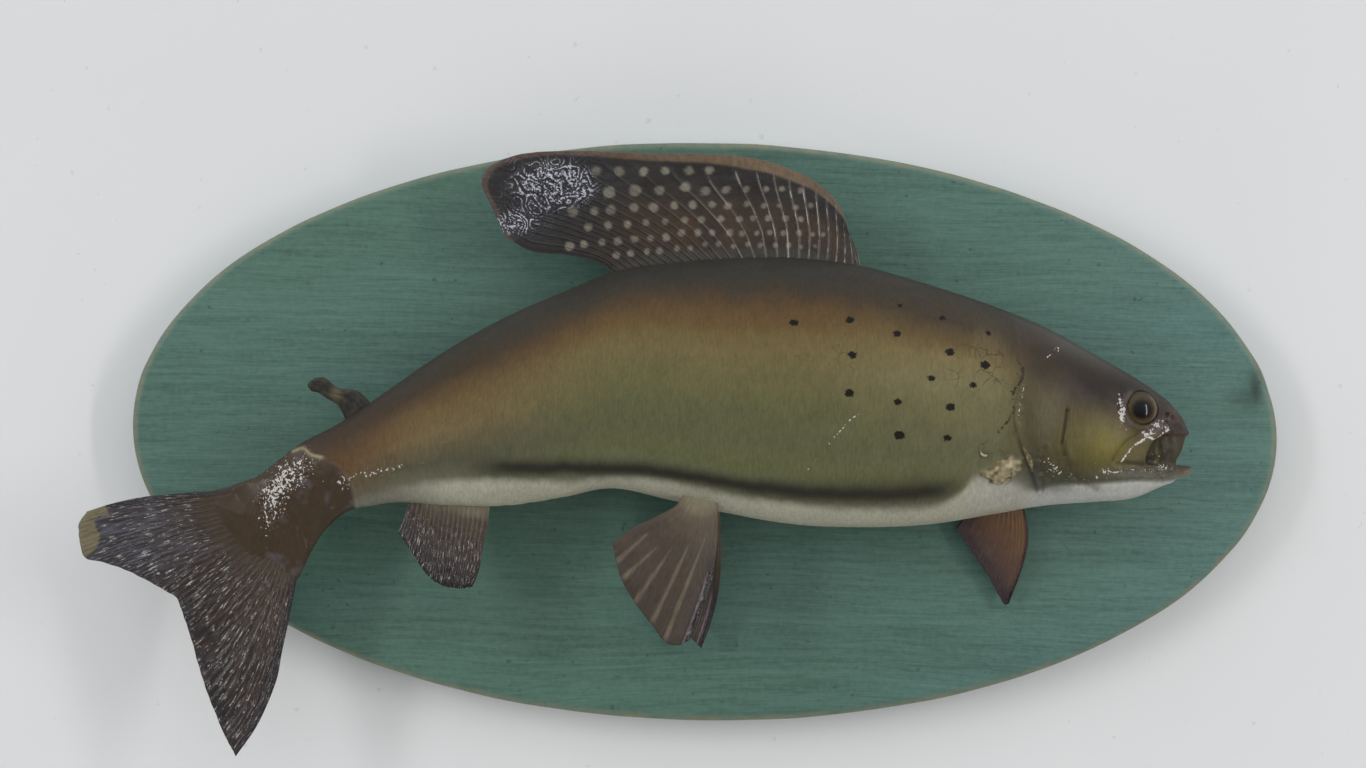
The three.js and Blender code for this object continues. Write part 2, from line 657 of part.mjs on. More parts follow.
const bodyColors = { eye_right: COLORS.eye, eye_left: COLORS.eye, head: COLORS.head, tail_root: COLORS.tail };
for (const [name, solid] of Object.entries(partBody())) {
  addNode(name, solid, bodyColors[name] ?? COLORS.flank, name.startsWith('eye') ? 0.05 : 0.35);
}
addNode('mouth_skin', mouthSkin(), COLORS.mouth);
addNode('pectoral_stump_right', pectoralStump(), COLORS.stump, 0.7);

const fins = {
  dorsal_fin: DORSAL,
  adipose_fin: ADIPOSE,
  anal_fin: ANAL,
  pelvic_fin_right: PELVIC_RIGHT,
  pelvic_fin_left: PELVIC_LEFT,
  pectoral_fin_left: PECTORAL_LEFT,
};
for (const [name, shape] of Object.entries(fins)) {
  addNode(name, finSolid(shape).subtract(bodyClear), COLORS.fin);
}
addNode('tail_fin_upper', finSolid(TAIL_UPPER), COLORS.tail, 0.25);
addNode('tail_fin_lower', finSolid(TAIL_LOWER), COLORS.tail, 0.25);

export default group;
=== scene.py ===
"""The looks of a mounted Arctic grayling on an oval plaque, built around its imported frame.

The fish hangs in profile with its right flank to the room. +X runs from the tail to the head, +Z is up and
+Y points into the wall. Sizes are in millimetres here and become metres when a mesh or a light is made.
"""

import logging
import math
from dataclasses import dataclass
from enum import Enum
from functools import cached_property
from typing import Iterator, Sequence

import bpy
import numpy as np
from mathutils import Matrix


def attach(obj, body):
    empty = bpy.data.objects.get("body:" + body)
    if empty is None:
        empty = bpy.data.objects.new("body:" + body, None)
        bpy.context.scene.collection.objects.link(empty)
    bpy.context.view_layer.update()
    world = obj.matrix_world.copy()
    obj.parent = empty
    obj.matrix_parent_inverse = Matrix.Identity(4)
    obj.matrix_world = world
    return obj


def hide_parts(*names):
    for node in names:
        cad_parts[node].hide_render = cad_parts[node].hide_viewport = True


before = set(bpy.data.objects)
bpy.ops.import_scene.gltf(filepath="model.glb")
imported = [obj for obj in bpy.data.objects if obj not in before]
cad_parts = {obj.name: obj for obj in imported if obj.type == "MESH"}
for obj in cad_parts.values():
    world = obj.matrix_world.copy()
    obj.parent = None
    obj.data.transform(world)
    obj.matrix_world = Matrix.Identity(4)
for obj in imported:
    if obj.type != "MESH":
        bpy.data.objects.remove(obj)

import openvdb
from mathutils import Matrix, Vector

log = logging.getLogger("grayling")

MM = 0.001
ROOT = "root"
BAKE_MAP = "OFBake"
PAINT = "paint"
GLOSS = "gloss"
LUMPS = "lumps"
SPARKLE = "sparkle"
Array = np.ndarray
Piece = bpy.types.Object
Socket = bpy.types.NodeSocket
Material = bpy.types.Material
Coat = tuple[Array, Array, Array]
Point = Sequence[float]
Span = tuple[float, float]


# ---------------------------------------------------------------- numbers and colours


def tint(red: int, green: int, painted_sheen: int) -> Array:
    """A paint mixed by its screen values from 0 to 255, as linear light."""
    share = np.array([red, green, painted_sheen]) / 255.0
    return np.where(share <= 0.04045, share / 12.92, ((share + 0.055) / 1.055) ** 2.4)


def smooth(value: Array, low: float, high: float) -> Array:
    """A smooth step from 0 at low to 1 at high."""
    share = np.clip((value - low) / (high - low), 0.0, 1.0)
    return share * share * (3.0 - 2.0 * share)


def hill(distance: Array, width: float) -> Array:
    """1 where distance is 0, falling off smoothly over the width."""
    return np.exp(-((distance / width) ** 2))


def mix(colours: Array, other: Array, share: Array) -> Array:
    """Blends rows of colours towards another colour by a share for each row."""
    return colours + (other - colours) * np.clip(share, 0.0, 1.0)[..., None]


def ramp(value: Array, stops: Sequence[Point]) -> Array:
    """Colours along a row of stops.

    Args:
        value: where on the ramp each colour is taken.
        stops: rows of a place, in rising order, and a paint's screen values.

    Returns:
        One colour for each value.
    """
    paints = np.array([tint(*stop[1:]) for stop in stops])
    return np.stack([np.interp(value, [stop[0] for stop in stops], paint) for paint in paints.T], -1)


@dataclass(frozen=True)
class Noise:
    """Smooth random values from -1 to 1 in space, the same on every run."""

    seed: int
    cells: int = 32

    def at(self, x: Array, y: Array, z: Array, pitch: float) -> Array:
        """Values at points given as three arrays that broadcast together.

        Args:
            x, y, z: places along each axis.
            pitch: distance from one random value to the next.

        Returns:
            One value for each point.
        """
        table = np.random.default_rng(self.seed).uniform(-1, 1, (self.cells,) * 3).astype(np.float32)
        corners, weights = [], []
        for place in (x, y, z):
            scaled = np.asarray(place, np.float32) / pitch + self.cells * 8
            low = np.floor(scaled).astype(np.int32)
            share = scaled - low
            corners.append((low % self.cells, (low + 1) % self.cells))
            weights.append((1 - smooth(share, 0, 1), smooth(share, 0, 1)))
        total = 0.0
        for i in (0, 1):
            for j in (0, 1):
                for k in (0, 1):
                    value = table[corners[0][i], corners[1][j], corners[2][k]]
                    total = total + value * weights[0][i] * weights[1][j] * weights[2][k]
        return total

    def over(self, x: Array, z: Array, pitch: float) -> Array:
        """Values at points of the side view."""
        return self.at(x, x * 0, z, pitch)

    def on(self, points: Array, pitch: float) -> Array:
        """Values at rows of points."""
        return self.at(points[:, 0], points[:, 1], points[:, 2], pitch)


@dataclass(frozen=True)
class SmoothCurve:
    """A curve through its points, with the speed of each stretch set by its length."""

    points: Array

    @staticmethod
    def through(points: Sequence[Point]) -> "SmoothCurve":
        """The curve through a list of points."""
        return SmoothCurve(np.asarray(points, float))

    def at(self, share: Array) -> Array:
        """Points at shares of the curve's length, counted in its stretches.

        Args:
            share: values from 0 at the first point to 1 at the last.

        Returns:
            One row for each share.
        """
        given = self.points
        count = len(given)
        padded = np.vstack([2 * given[0] - given[1], given, 2 * given[-1] - given[-2]])
        place = np.clip(np.asarray(share, float), 0, 1) * (count - 1)
        start = np.minimum(place.astype(int), count - 2)
        w = (place - start)[..., None]
        p0, p1, p2, p3 = (padded[start + k] for k in range(4))
        d0, d1, d2 = (
            np.maximum(np.sum((b - a) ** 2, -1, keepdims=True) ** 0.25, 1e-4)
            for a, b in ((p0, p1), (p1, p2), (p2, p3))
        )
        t1 = ((p1 - p0) / d0 - (p2 - p0) / (d0 + d1) + (p2 - p1) / d1) * d1
        t2 = ((p2 - p1) / d1 - (p3 - p1) / (d1 + d2) + (p3 - p2) / d2) * d1
        bend = 3 * (p2 - p1) - 2 * t1 - t2
        twist = 2 * (p1 - p2) + t1 + t2
        return p1 + w * (t1 + w * (bend + w * twist))


def smooth_line(points: Sequence[Point], steps: int = 60, closed: bool = False) -> Array:
    """A fine row of points on the smooth curve through a few.

    Args:
        points: the few points.
        steps: how many points to make.
        closed: whether the line runs back to its start.

    Returns:
        Rows of points.
    """
    rows = list(points) + ([points[0]] if closed else [])
    fine = SmoothCurve.through(rows).at(np.linspace(0, 1, steps))
    return fine[:-1] if closed else fine


def line_distance(x: Array, z: Array, line: Array) -> Array:
    """How far points of the (x, z) plane lie from an open line.

    Args:
        x, z: places of the side view.
        line: rows of x and z.

    Returns:
        Distances.
    """
    nearest = np.full(np.broadcast(x, z).shape, np.inf)
    for (ax, az), (bx, bz) in zip(line[:-1], line[1:]):
        run, rise = bx - ax, bz - az
        share = np.clip(((x - ax) * run + (z - az) * rise) / (run * run + rise * rise + 1e-9), 0, 1)
        nearest = np.minimum(nearest, (x - ax - share * run) ** 2 + (z - az - share * rise) ** 2)
    return np.sqrt(nearest)


def outline_distance(x: Array, z: Array, outline: Array) -> Array:
    """How far points of the (x, z) plane lie outside a closed outline, below zero inside it.

    Args:
        x, z: places of the side view.
        outline: rows of x and z.

    Returns:
        Distances, below zero inside.
    """
    ring = np.vstack([outline, outline[:1]])
    inside = np.zeros(np.broadcast(x, z).shape, bool)
    for (ax, az), (bx, bz) in zip(ring[:-1], ring[1:]):
        if az != bz:
            crosses = ((az > z) != (bz > z)) & (x < (bx - ax) * (z - az) / (bz - az) + ax)
            inside ^= crosses
    away = line_distance(x, z, ring)
    return np.where(inside, -away, away)


# ---------------------------------------------------------------- meshes


def new_object(name: str, points: Array, faces: Sequence[Array]) -> Piece:
    """A smooth-shaded object in the scene.

    Args:
        name: the object's name.
        points: rows of millimetres.
        faces: arrays of point numbers, each with one face to a row.

    Returns:
        The linked object.
    """
    mesh = bpy.data.meshes.new(name)
    sizes = np.concatenate([np.full(len(rows), rows.shape[1], np.int32) for rows in faces])
    corners = np.concatenate([rows.ravel() for rows in faces]).astype(np.int32)
    mesh.vertices.add(len(points))
    mesh.vertices.foreach_set("co", (np.asarray(points) * MM).astype(np.float32).ravel())
    mesh.loops.add(len(corners))
    mesh.loops.foreach_set("vertex_index", corners)
    mesh.polygons.add(len(sizes))
    mesh.polygons.foreach_set("loop_start", np.concatenate([[0], np.cumsum(sizes)[:-1]]).astype(np.int32))
    mesh.update(calc_edges=True)
    mesh.validate()
    mesh.shade_smooth()
    made = bpy.data.objects.new(name, mesh)
    bpy.context.scene.collection.objects.link(made)
    return made


def points_of(piece: Piece) -> Array:
    """The places of an object's vertices, in millimetres.

    Args:
        piece: the object.

    Returns:
        Rows of x, y and z.
    """
    flat = np.empty(len(piece.data.vertices) * 3, np.float32)
    piece.data.vertices.foreach_get("co", flat)
    return flat.reshape(-1, 3).astype(float) / MM


def store(piece: Piece, values: dict[str, Array]) -> None:
    """Stores a colour or a number for each vertex.

    Args:
        piece: the object.
        values: rows of colours or plain numbers, by the name they are stored under.
    """
    for name, rows in values.items():
        kind, key = ("FLOAT_COLOR", "color") if rows.ndim == 2 else ("FLOAT", "value")
        if rows.ndim == 2:
            rows = np.concatenate([np.clip(rows, 0, 1), np.ones((len(rows), 1))], 1)
        layer = piece.data.attributes.new(name, kind, "POINT")
        layer.data.foreach_set(key, rows.astype(np.float32).ravel())


def grid_quads(columns: int, rows: int, start: int = 0, flip: bool = False) -> Array:
    """Faces of a sheet of points that is stored column by column.

    Args:
        columns: columns of points.
        rows: points in a column.
        start: the first point.
        flip: whether to turn the faces over.

    Returns:
        Four-sided faces.
    """
    i, j = np.meshgrid(np.arange(columns - 1), np.arange(rows - 1), indexing="ij")
    a = (start + i * rows + j).ravel()
    faces = np.stack([a, a + rows, a + rows + 1, a + 1], -1)
    return faces[:, ::-1] if flip else faces


def ring_quads(rings: int, count: int, start: int = 0) -> Array:
    """Joins closed rings of points into faces.

    Args:
        rings: how many rings there are, stored one after another.
        count: points in a ring.
        start: the first ring's first point.

    Returns:
        Four-sided faces.
    """
    i, j = np.meshgrid(np.arange(rings - 1), np.arange(count), indexing="ij")
    a, b = (start + i * count + j).ravel(), (start + i * count + (j + 1) % count).ravel()
    return np.stack([a, a + count, b + count, b], -1)


def ring_fan(start: int, count: int, tip: int) -> Array:
    """Triangles between a ring of points and a tip."""
    ring = start + np.arange(count)
    return np.stack([ring, np.roll(ring, -1), np.full(count, tip)], -1)


def bake_modifiers(piece: Piece) -> None:
    """Applies an object's modifiers to its mesh.

    Args:
        piece: the object.
    """
    shaped = piece.evaluated_get(bpy.context.evaluated_depsgraph_get())
    mesh = bpy.data.meshes.new_from_object(shaped)
    piece.modifiers.clear()
    piece.data = mesh


def dress(piece: Piece, material: Material, slot: str) -> Piece:
    """Gives a piece its one material and fixes it to the model.

    Args:
        piece: the object.
        material: its material.
        slot: not used. its slot.

    Returns:
        The piece.
    """
    piece.data.materials.clear()
    piece.data.materials.append(material)
    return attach(piece, ROOT)


# ---------------------------------------------------------------- finishes


class Graph:
    """The shader nodes of one material."""

    def __init__(self, name: str) -> None:
        """Starts a material that holds one Principled shader.

        Args:
            name: the material's name.
        """
        self.material = bpy.data.materials.new(name)
        self.material.use_nodes = True
        self.tree = self.material.node_tree
        self.shader = self.tree.nodes["Principled BSDF"]
        self.output = self.tree.nodes["Material Output"]

    def add(self, kind: str, inputs: dict | None = None, **settings: object) -> bpy.types.Node:
        """Adds a node.

        Args:
            kind: the node's type, without its ShaderNode prefix.
            inputs: values or sockets for its inputs, by name or number.
            **settings: its properties.

        Returns:
            The node.
        """
        node = self.tree.nodes.new("ShaderNode" + kind)
        for name, value in settings.items():
            setattr(node, name, value)
        for name, value in (inputs or {}).items():
            self.feed(node.inputs[name], value)
        return node

    def feed(self, socket: Socket, value: object) -> None:
        """Links a socket into an input, or sets the input's own number or colour.

        Args:
            socket: the input.
            value: a socket, a number or a colour.
        """
        if isinstance(value, bpy.types.NodeSocket):
            self.tree.links.new(value, socket)
        else:
            socket.default_value = value

    def attribute(self, name: str, output: str = "Fac") -> Socket:
        """The output of an attribute stored on the mesh."""
        return self.add("Attribute", attribute_name=name).outputs[output]

    def place(self, stretch: Point = (1, 1, 1), here: Socket | None = None) -> Socket:
        """Places, or else object coordinates, scaled along each axis."""
        here = self.add("TexCoord").outputs["Object"] if here is None else here
        return self.add("Mapping", {"Vector": here, "Scale": stretch}).outputs["Vector"]

    def noise(self, vector: Socket, scale: float, detail: float = 3.0,
              rough: float = 0.5) -> Socket:
        """A noise from 0 to 1."""
        inputs = {"Vector": vector, "Scale": scale, "Detail": detail, "Roughness": rough}
        return self.add("TexNoise", inputs).outputs["Fac"]

    def remap(self, value: Socket, source: Span, target: Span) -> Socket:
        """Stretches a value from one range to another, and holds it there.

        Args:
            value: the value.
            source: its range.
            target: the range it is brought to.

        Returns:
            The stretched value.
        """
        inputs = {"Value": value, "From Min": source[0], "From Max": source[1],
                  "To Min": target[0], "To Max": target[1]}
        return self.add("MapRange", inputs).outputs["Result"]

    def math(self, operation: str, a: object, b: object = 0.0) -> Socket:
        """One sum of two values."""
        return self.add("Math", {0: a, 1: b}, operation=operation).outputs[0]

    def times(self, a: object, b: object) -> Socket:
        """The product of two values."""
        return self.math("MULTIPLY", a, b)

    def plus(self, a: object, b: object) -> Socket:
        """Two values added."""
        return self.math("ADD", a, b)

    def most(self, a: object, b: object) -> Socket:
        """The larger of two values."""
        return self.math("MAXIMUM", a, b)

    def shade(self, colour: Socket, tone: object) -> Socket:
        """A colour times a tone."""
        return self.add("VectorMath", {0: colour, 1: tone}, operation="MULTIPLY").outputs[0]

    def blend(self, share: object, a: object, b: object, how: str = "MIX") -> Socket:
        """Mixes two colours by a share.

        Args:
            share: how much of the second colour there is.
            a: the first colour.
            b: the second colour.
            how: how they are mixed.

        Returns:
            The mixed colour.
        """
        node = self.add("Mix", data_type="RGBA", blend_type=how)
        self.feed(node.inputs["Factor"], share)
        self.feed(node.inputs[6], a)
        self.feed(node.inputs[7], b)
        return node.outputs[2]

    def bump(self, height: Socket, depth: float, strength: float = 1.0,
             after: Socket | None = None) -> Socket:
        """A bump of a depth in millimetres, laid over an earlier one if there is one.

        Args:
            height: a value from 0 to 1.
            depth: millimetres.
            strength: how much of it shows.
            after: an earlier bump.

        Returns:
            The bent normal.
        """
        node = self.add("Bump", {"Height": height, "Strength": strength, "Distance": depth * MM})
        if after is not None:
            self.feed(node.inputs["Normal"], after)
        return node.outputs["Normal"]

    def set(self, **inputs: object) -> None:
        """Sets inputs of the Principled shader; a low line in a name stands for a space."""
        for name, value in inputs.items():
            self.feed(self.shader.inputs[name.replace("_", " ")], value)


def rgba(colour: Array) -> tuple[float, float, float, float]:
    """A linear colour with full cover."""
    return (float(colour[0]), float(colour[1]), float(colour[2]), 1.0)


@dataclass(frozen=True)
class VarnishedPaint:
    """Airbrushed paint under varnish.

    The mesh stores its colour, its gloss, how lumpy the varnish is and how thickly glints are painted on it; a fin
    also stores its ray numbers, the way out along them and how far its varnish has wrinkled. The glints are painted
    highlights, blended into the colour.
    """

    name: str
    mottle: float = 0.12
    speck_size: float = 0.7
    relief: float = 0.06
    coat: float = 0.0
    coat_roughness: float = 0.12
    specular: float = 0.45
    lump_size: float = 0.9
    lump_depth: float = 0.5
    marked: bool = False
    rayed: bool = False

    def make(self) -> Material:
        """Builds the material.

        Returns:
            The material.
        """
        graph = Graph(self.name)
        here = graph.place()
        cloud = graph.noise(here, 1 / (self.speck_size * 8 * MM), 4, 0.6)
        speck = graph.noise(here, 1 / (self.speck_size * MM), 2)
        shade = graph.remap(cloud, (0.25, 0.75), (1 - self.mottle, 1 + self.mottle))
        fleck = graph.remap(speck, (0.2, 0.8), (1 - self.mottle / 2, 1 + self.mottle / 2))
        tone = graph.times(shade, fleck)
        painted = graph.attribute(PAINT, "Color")
        colour = graph.shade(painted, tone)
        normal = graph.bump(graph.plus(speck, graph.times(cloud, 1.5)), self.relief)
        lumps = graph.noise(here, 1 / (self.lump_size * MM), 1, 0.5)
        if self.marked:
            colour, normal = self._mark(graph, here, speck, colour, normal)
        if self.rayed:
            colour, normal, lumps = self._fibre(graph, here, colour, normal, lumps)
        lumpy = graph.times(lumps, graph.attribute(LUMPS))
        normal = graph.bump(lumpy, self.lump_depth, after=normal)
        crowd = graph.plus(lumps, graph.times(graph.attribute(SPARKLE), 0.3))
        glint = graph.remap(crowd, (0.78, 0.88), (0.0, 0.7))
        if self.marked:
            curl = graph.noise(here, 1 / (2.4 * MM), 1, 0.5)
            curl = graph.math("ABSOLUTE", graph.math("SUBTRACT", curl, 0.5))
            crowd = graph.plus(crowd, graph.times(graph.attribute(SPARKLE), 0.17))
            crowd = graph.plus(crowd, graph.remap(curl, (0.0, 0.09), (0.10, -0.12)))
            glint = graph.remap(crowd, (0.90, 0.99), (0.0, 0.9))
            # Painted highlight lines, and pale scratches painted the same way, laid in the glint colour.
            glint_and_scratch_line = graph.plus(graph.attribute("glint_and_scratch_line"), graph.remap(lumps, (0.3, 0.7), (-0.4, 0.25)))
            glint = graph.most(glint, graph.remap(glint_and_scratch_line, (-0.12, 0.12), (0.0, 0.95)))
        # Painted highlights: the glint colour is blended in where the lumps and the stored sparkle crowd.
        colour = graph.blend(glint, colour, rgba(self.glint))
        rough = graph.times(graph.attribute(GLOSS), graph.remap(cloud, (0.3, 0.7), (0.8, 1.25)))
        graph.set(Base_Color=colour, Roughness=rough, Normal=normal, Specular_IOR_Level=self.specular)
        if self.coat:
            graph.set(Coat_Weight=self.coat, Coat_Roughness=self.coat_roughness)
        return graph.material

    @property
    def glint(self) -> Array:
        """The colour of painted highlights: glints painted where the varnish is lumpy."""
        return tint(206, 200, 192)

    def _fibre(self, graph: Graph, here: Socket, colour: Socket,
               normal: Socket, lumps: Socket) -> tuple[Socket, ...]:
        """Adds the fine fibres of a fin's rays, the ripples of wrinkled varnish and painted glints on the ripples'
        crests.

        Args:
            graph: the material's nodes.
            here: object coordinates.
            colour: the paint so far.
            normal: the relief so far.
            lumps: the lumps of the varnish.

        Returns:
            The paint, the relief and the lumps, drawn out along the rays.
        """
        ray = graph.times(graph.attribute("ray"), 6.0)
        way = graph.times(graph.attribute("way"), 0.22)
        streak = graph.noise(graph.add("CombineXYZ", {"X": ray, "Y": way}).outputs[0], 1.0, 2, 0.55)
        tone = graph.remap(streak, (0.3, 0.7), (0.84, 1.18))
        colour = graph.shade(colour, tone)
        normal = graph.bump(streak, 0.10, after=normal)
        drawn = graph.plus(graph.times(streak, 0.8), graph.times(lumps, 0.2))
        swirl = graph.math("SINE", graph.times(graph.noise(here, 1 / (11 * MM), 1, 0.5), 100.0))
        wave = graph.times(graph.plus(swirl, 1.0), 0.5)
        wrinkle = graph.times(wave, graph.attribute("wrinkle"))
        normal = graph.bump(wrinkle, 0.28, after=normal)
        # Painted highlights: pale glints along the ripples' crests and, as dots, where the lumps crowd.
        broken = graph.remap(lumps, (0.42, 0.54), (0.0, 1.0))
        painted_ripple_glint = graph.times(graph.remap(wrinkle, (0.50, 0.75), (0.0, 0.9)), broken)
        glints_and_scratches = graph.plus(lumps, graph.times(graph.attribute("wrinkle"), 0.3))
        painted_ripple_glint = graph.most(painted_ripple_glint, graph.remap(glints_and_scratches, (0.92, 0.98), (0.0, 0.9)))
        return graph.blend(painted_ripple_glint, colour, rgba(tint(200, 200, 212))), normal, drawn

    def _mark(self, graph: Graph, here: Socket, speck: Socket,
              colour: Socket,
              normal: Socket) -> tuple[Socket, Socket]:
        """Adds short upright streaks of painted light and shade, fine cracks and crisp dark spots.

        Args:
            graph: the material's nodes.
            here: object coordinates.
            speck: a fine noise from 0 to 1.
            colour: the paint so far.
            normal: the relief so far.

        Returns:
            The paint and the relief with the marks.
        """
        # Painted light and shade: short upright lighter and darker streaks, as where scale edges catch the light.
        streak = graph.noise(graph.place((1100, 500, 280)), 1.0, 3, 0.6)
        tone = graph.remap(streak, (0.3, 0.72), (0.88, 1.15))
        colour = graph.shade(colour, tone)
        drift = graph.add("TexNoise", {"Vector": here, "Scale": 260.0}).outputs["Color"]
        drift = graph.shade(drift, (0.0022, 0.0022, 0.0022))
        wander = graph.add("VectorMath", {0: here, 1: drift}, operation="ADD").outputs[0]
        cells = graph.add("TexVoronoi", {"Vector": wander, "Scale": 210.0}, feature="DISTANCE_TO_EDGE")
        broken = graph.remap(graph.noise(here, 130.0, 2), (0.45, 0.65), (0.0, 1.0))
        line = graph.times(graph.remap(cells.outputs["Distance"], (0.010, 0.035), (1.0, 0.0)), broken)
        ragged = graph.remap(speck, (0.2, 0.8), (-0.55, 0.55))
        split = graph.plus(graph.attribute("crack"), graph.times(ragged, 0.5))
        share = graph.most(graph.times(line, graph.attribute("crackle")),
                           graph.remap(split, (-0.12, 0.12), (0.0, 0.85)))
        colour = graph.blend(share, colour, rgba(tint(42, 35, 23)))
        normal = graph.bump(graph.times(share, -1.0), 0.2, after=normal)
        inside = graph.plus(graph.attribute("spot"), ragged)
        return graph.blend(graph.remap(inside, (-0.2, 0.2), (0.0, 0.97)), colour, rgba(tint(12, 9, 7))), normal


@dataclass(frozen=True)
class StainedWood:
    """Open-grained board under a thin stain, worn along its rim."""

    name: str
    dark: Array
    middle: Array
    light: Array
    worn: Array
    bare: Array
    relief: float = 0.16
    roughness: float = 0.5

    def make(self) -> Material:
        """Builds the material. The mesh stores how worn each place is.

        Returns:
            The material.
        """
        graph = Graph(self.name)
        here = graph.place()
        bend = graph.noise(graph.place((5, 5, 9)), 1.0, 2)
        lift = graph.add("CombineXYZ", {"Z": graph.times(bend, 0.02)}).outputs[0]
        moved = graph.add("VectorMath", {0: here, 1: lift}, operation="ADD").outputs[0]
        streak = graph.noise(graph.place((16, 60, 420), moved), 1.0, 4, 0.65)
        fibre = graph.noise(graph.place((90, 300, 1300), moved), 1.0, 3, 0.6)
        band = graph.noise(graph.place((2.5, 20, 34), moved), 1.0, 3, 0.55)
        mottle = graph.noise(here, 420.0, 4, 0.7)
        grain = graph.plus(graph.times(streak, 0.28), graph.times(band, 0.22))
        for part in (fibre, mottle):
            grain = graph.plus(grain, graph.times(part, 0.25))
        stain = graph.add("ValToRGB", {"Fac": graph.remap(grain, (0.32, 0.70), (0, 1))})
        stops = stain.color_ramp.elements
        stops[0].color, stops[1].color = rgba(self.dark), rgba(self.light)
        stops.new(0.5).color = rgba(self.middle)
        fleck = graph.remap(graph.noise(here, 330.0, 2), (0.70, 0.76), (0, 0.55))
        tinge = graph.remap(graph.noise(graph.place((6, 6, 16)), 1.0, 3), (0.35, 0.65), (0, 0.8))
        colour = graph.blend(tinge, stain.outputs["Color"], (1.0, 0.97, 0.86, 1.0), "MULTIPLY")
        # Painted light: the board grows lighter and bluer towards its right end.
        right = graph.remap(graph.add("SeparateXYZ", {0: here}).outputs["X"], (0.06, 0.22), (0, 1))
        colour = graph.blend(right, colour, (1.16, 1.14, 1.26, 1.0), "MULTIPLY")
        colour = graph.blend(fleck, colour, rgba(self.dark * 0.45))
        wear = graph.attribute("wear")
        broken = graph.times(wear, graph.remap(graph.noise(here, 160.0, 4, 0.7), (0.35, 0.6), (0.35, 1)))
        colour = graph.blend(broken, colour, rgba(self.worn))
        chips = graph.times(wear, graph.remap(graph.noise(graph.place((60, 60, 200)), 1.0, 4, 0.7),
                                                       (0.60, 0.70), (0, 1)))
        colour = graph.blend(chips, colour, rgba(self.bare))
        smudge = graph.attribute("smudge")
        colour = graph.blend(smudge, colour, rgba(self.dark * 0.35))
        normal = graph.bump(grain, self.relief)
        normal = graph.bump(fibre, self.relief * 0.5, after=normal)
        rough = graph.remap(grain, (0.3, 0.7), (self.roughness + 0.1, self.roughness - 0.06))
        graph.set(Base_Color=colour, Roughness=rough, Normal=normal)
        return graph.material


@dataclass(frozen=True)
class PlainWood:
    """Bare sawn wood."""

    name: str
    dark: Array
    light: Array

    def make(self) -> Material:
        """Builds the material.

        Returns:
            The material.
        """
        graph = Graph(self.name)
        grain = graph.noise(graph.place((60, 60, 600)), 1.0, 4, 0.6)
        share = graph.remap(grain, (0.35, 0.65), (0, 1))
        colour = graph.blend(share, rgba(self.dark), rgba(self.light))
        graph.set(Base_Color=colour, Roughness=0.7, Normal=graph.bump(grain, 0.1))
        return graph.material


@dataclass(frozen=True)
class ZincSteel:
    """Zinc-plated steel with fine drawing marks."""

    name: str
    colour: Array
    roughness: float = 0.38

    def make(self) -> Material:
        """Builds the material.

        Returns:
            The material.
        """
        graph = Graph(self.name)
        marks = graph.noise(graph.place((40, 400, 400)), 3.0, 3)
        cloud = graph.noise(graph.place(), 220.0, 3)
        colour = graph.blend(graph.remap(cloud, (0.35, 0.65), (0, 1)), rgba(self.colour * 0.7), rgba(self.colour))
        rough = graph.remap(marks, (0.3, 0.7), (self.roughness - 0.1, self.roughness + 0.12))
        graph.set(Base_Color=colour, Metallic=1.0, Roughness=rough, Normal=graph.bump(marks, 0.02))
        return graph.material


@dataclass(frozen=True)
class EyeGlass:
    """A painted iris under polished glass, its colours stored on the mesh."""

    name: str

    def make(self) -> Material:
        """Builds the material.

        Returns:
            The material.
        """
        graph = Graph(self.name)
        fibres = graph.noise(graph.place(), 900.0, 3)
        tone = graph.remap(fibres, (0.3, 0.7), (0.85, 1.15))
        painted = graph.attribute(PAINT, "Color")
        colour = graph.shade(painted, tone)
        graph.set(Base_Color=colour, Roughness=0.2, Specular_IOR_Level=0.1, Coat_Weight=0.3, Coat_Roughness=0.02)
        return graph.material


class Finish(Enum):
    """The finishes of the mount."""

    SKIN = VarnishedPaint("skin_paint", mottle=0.10, relief=0.05, specular=0.25, marked=True)
    SCALES = VarnishedPaint("scale_paint", mottle=0.07, speck_size=0.8, relief=0.02, specular=0.18, marked=True)
    FIN = VarnishedPaint("fin_paint", mottle=0.14, speck_size=0.5, relief=0.05, coat=0.15, specular=0.35,
                         lump_size=0.7, rayed=True)
    EYE = EyeGlass("eye_glass")
    BOARD = StainedWood("stained_board", dark=tint(45, 75, 65), middle=tint(74, 108, 97),
                        light=tint(92, 128, 117), worn=tint(118, 120, 98), bare=tint(132, 106, 82))
    DISC = PlainWood("raw_wood", dark=tint(150, 112, 70), light=tint(190, 154, 108))
    STEEL = ZincSteel("zinc_steel", tint(186, 188, 184))

    def material(self) -> Material:
        """The finish's material, made once."""
        return bpy.data.materials.get(self.value.name) or self.value.make()


# ---------------------------------------------------------------- the body's shape


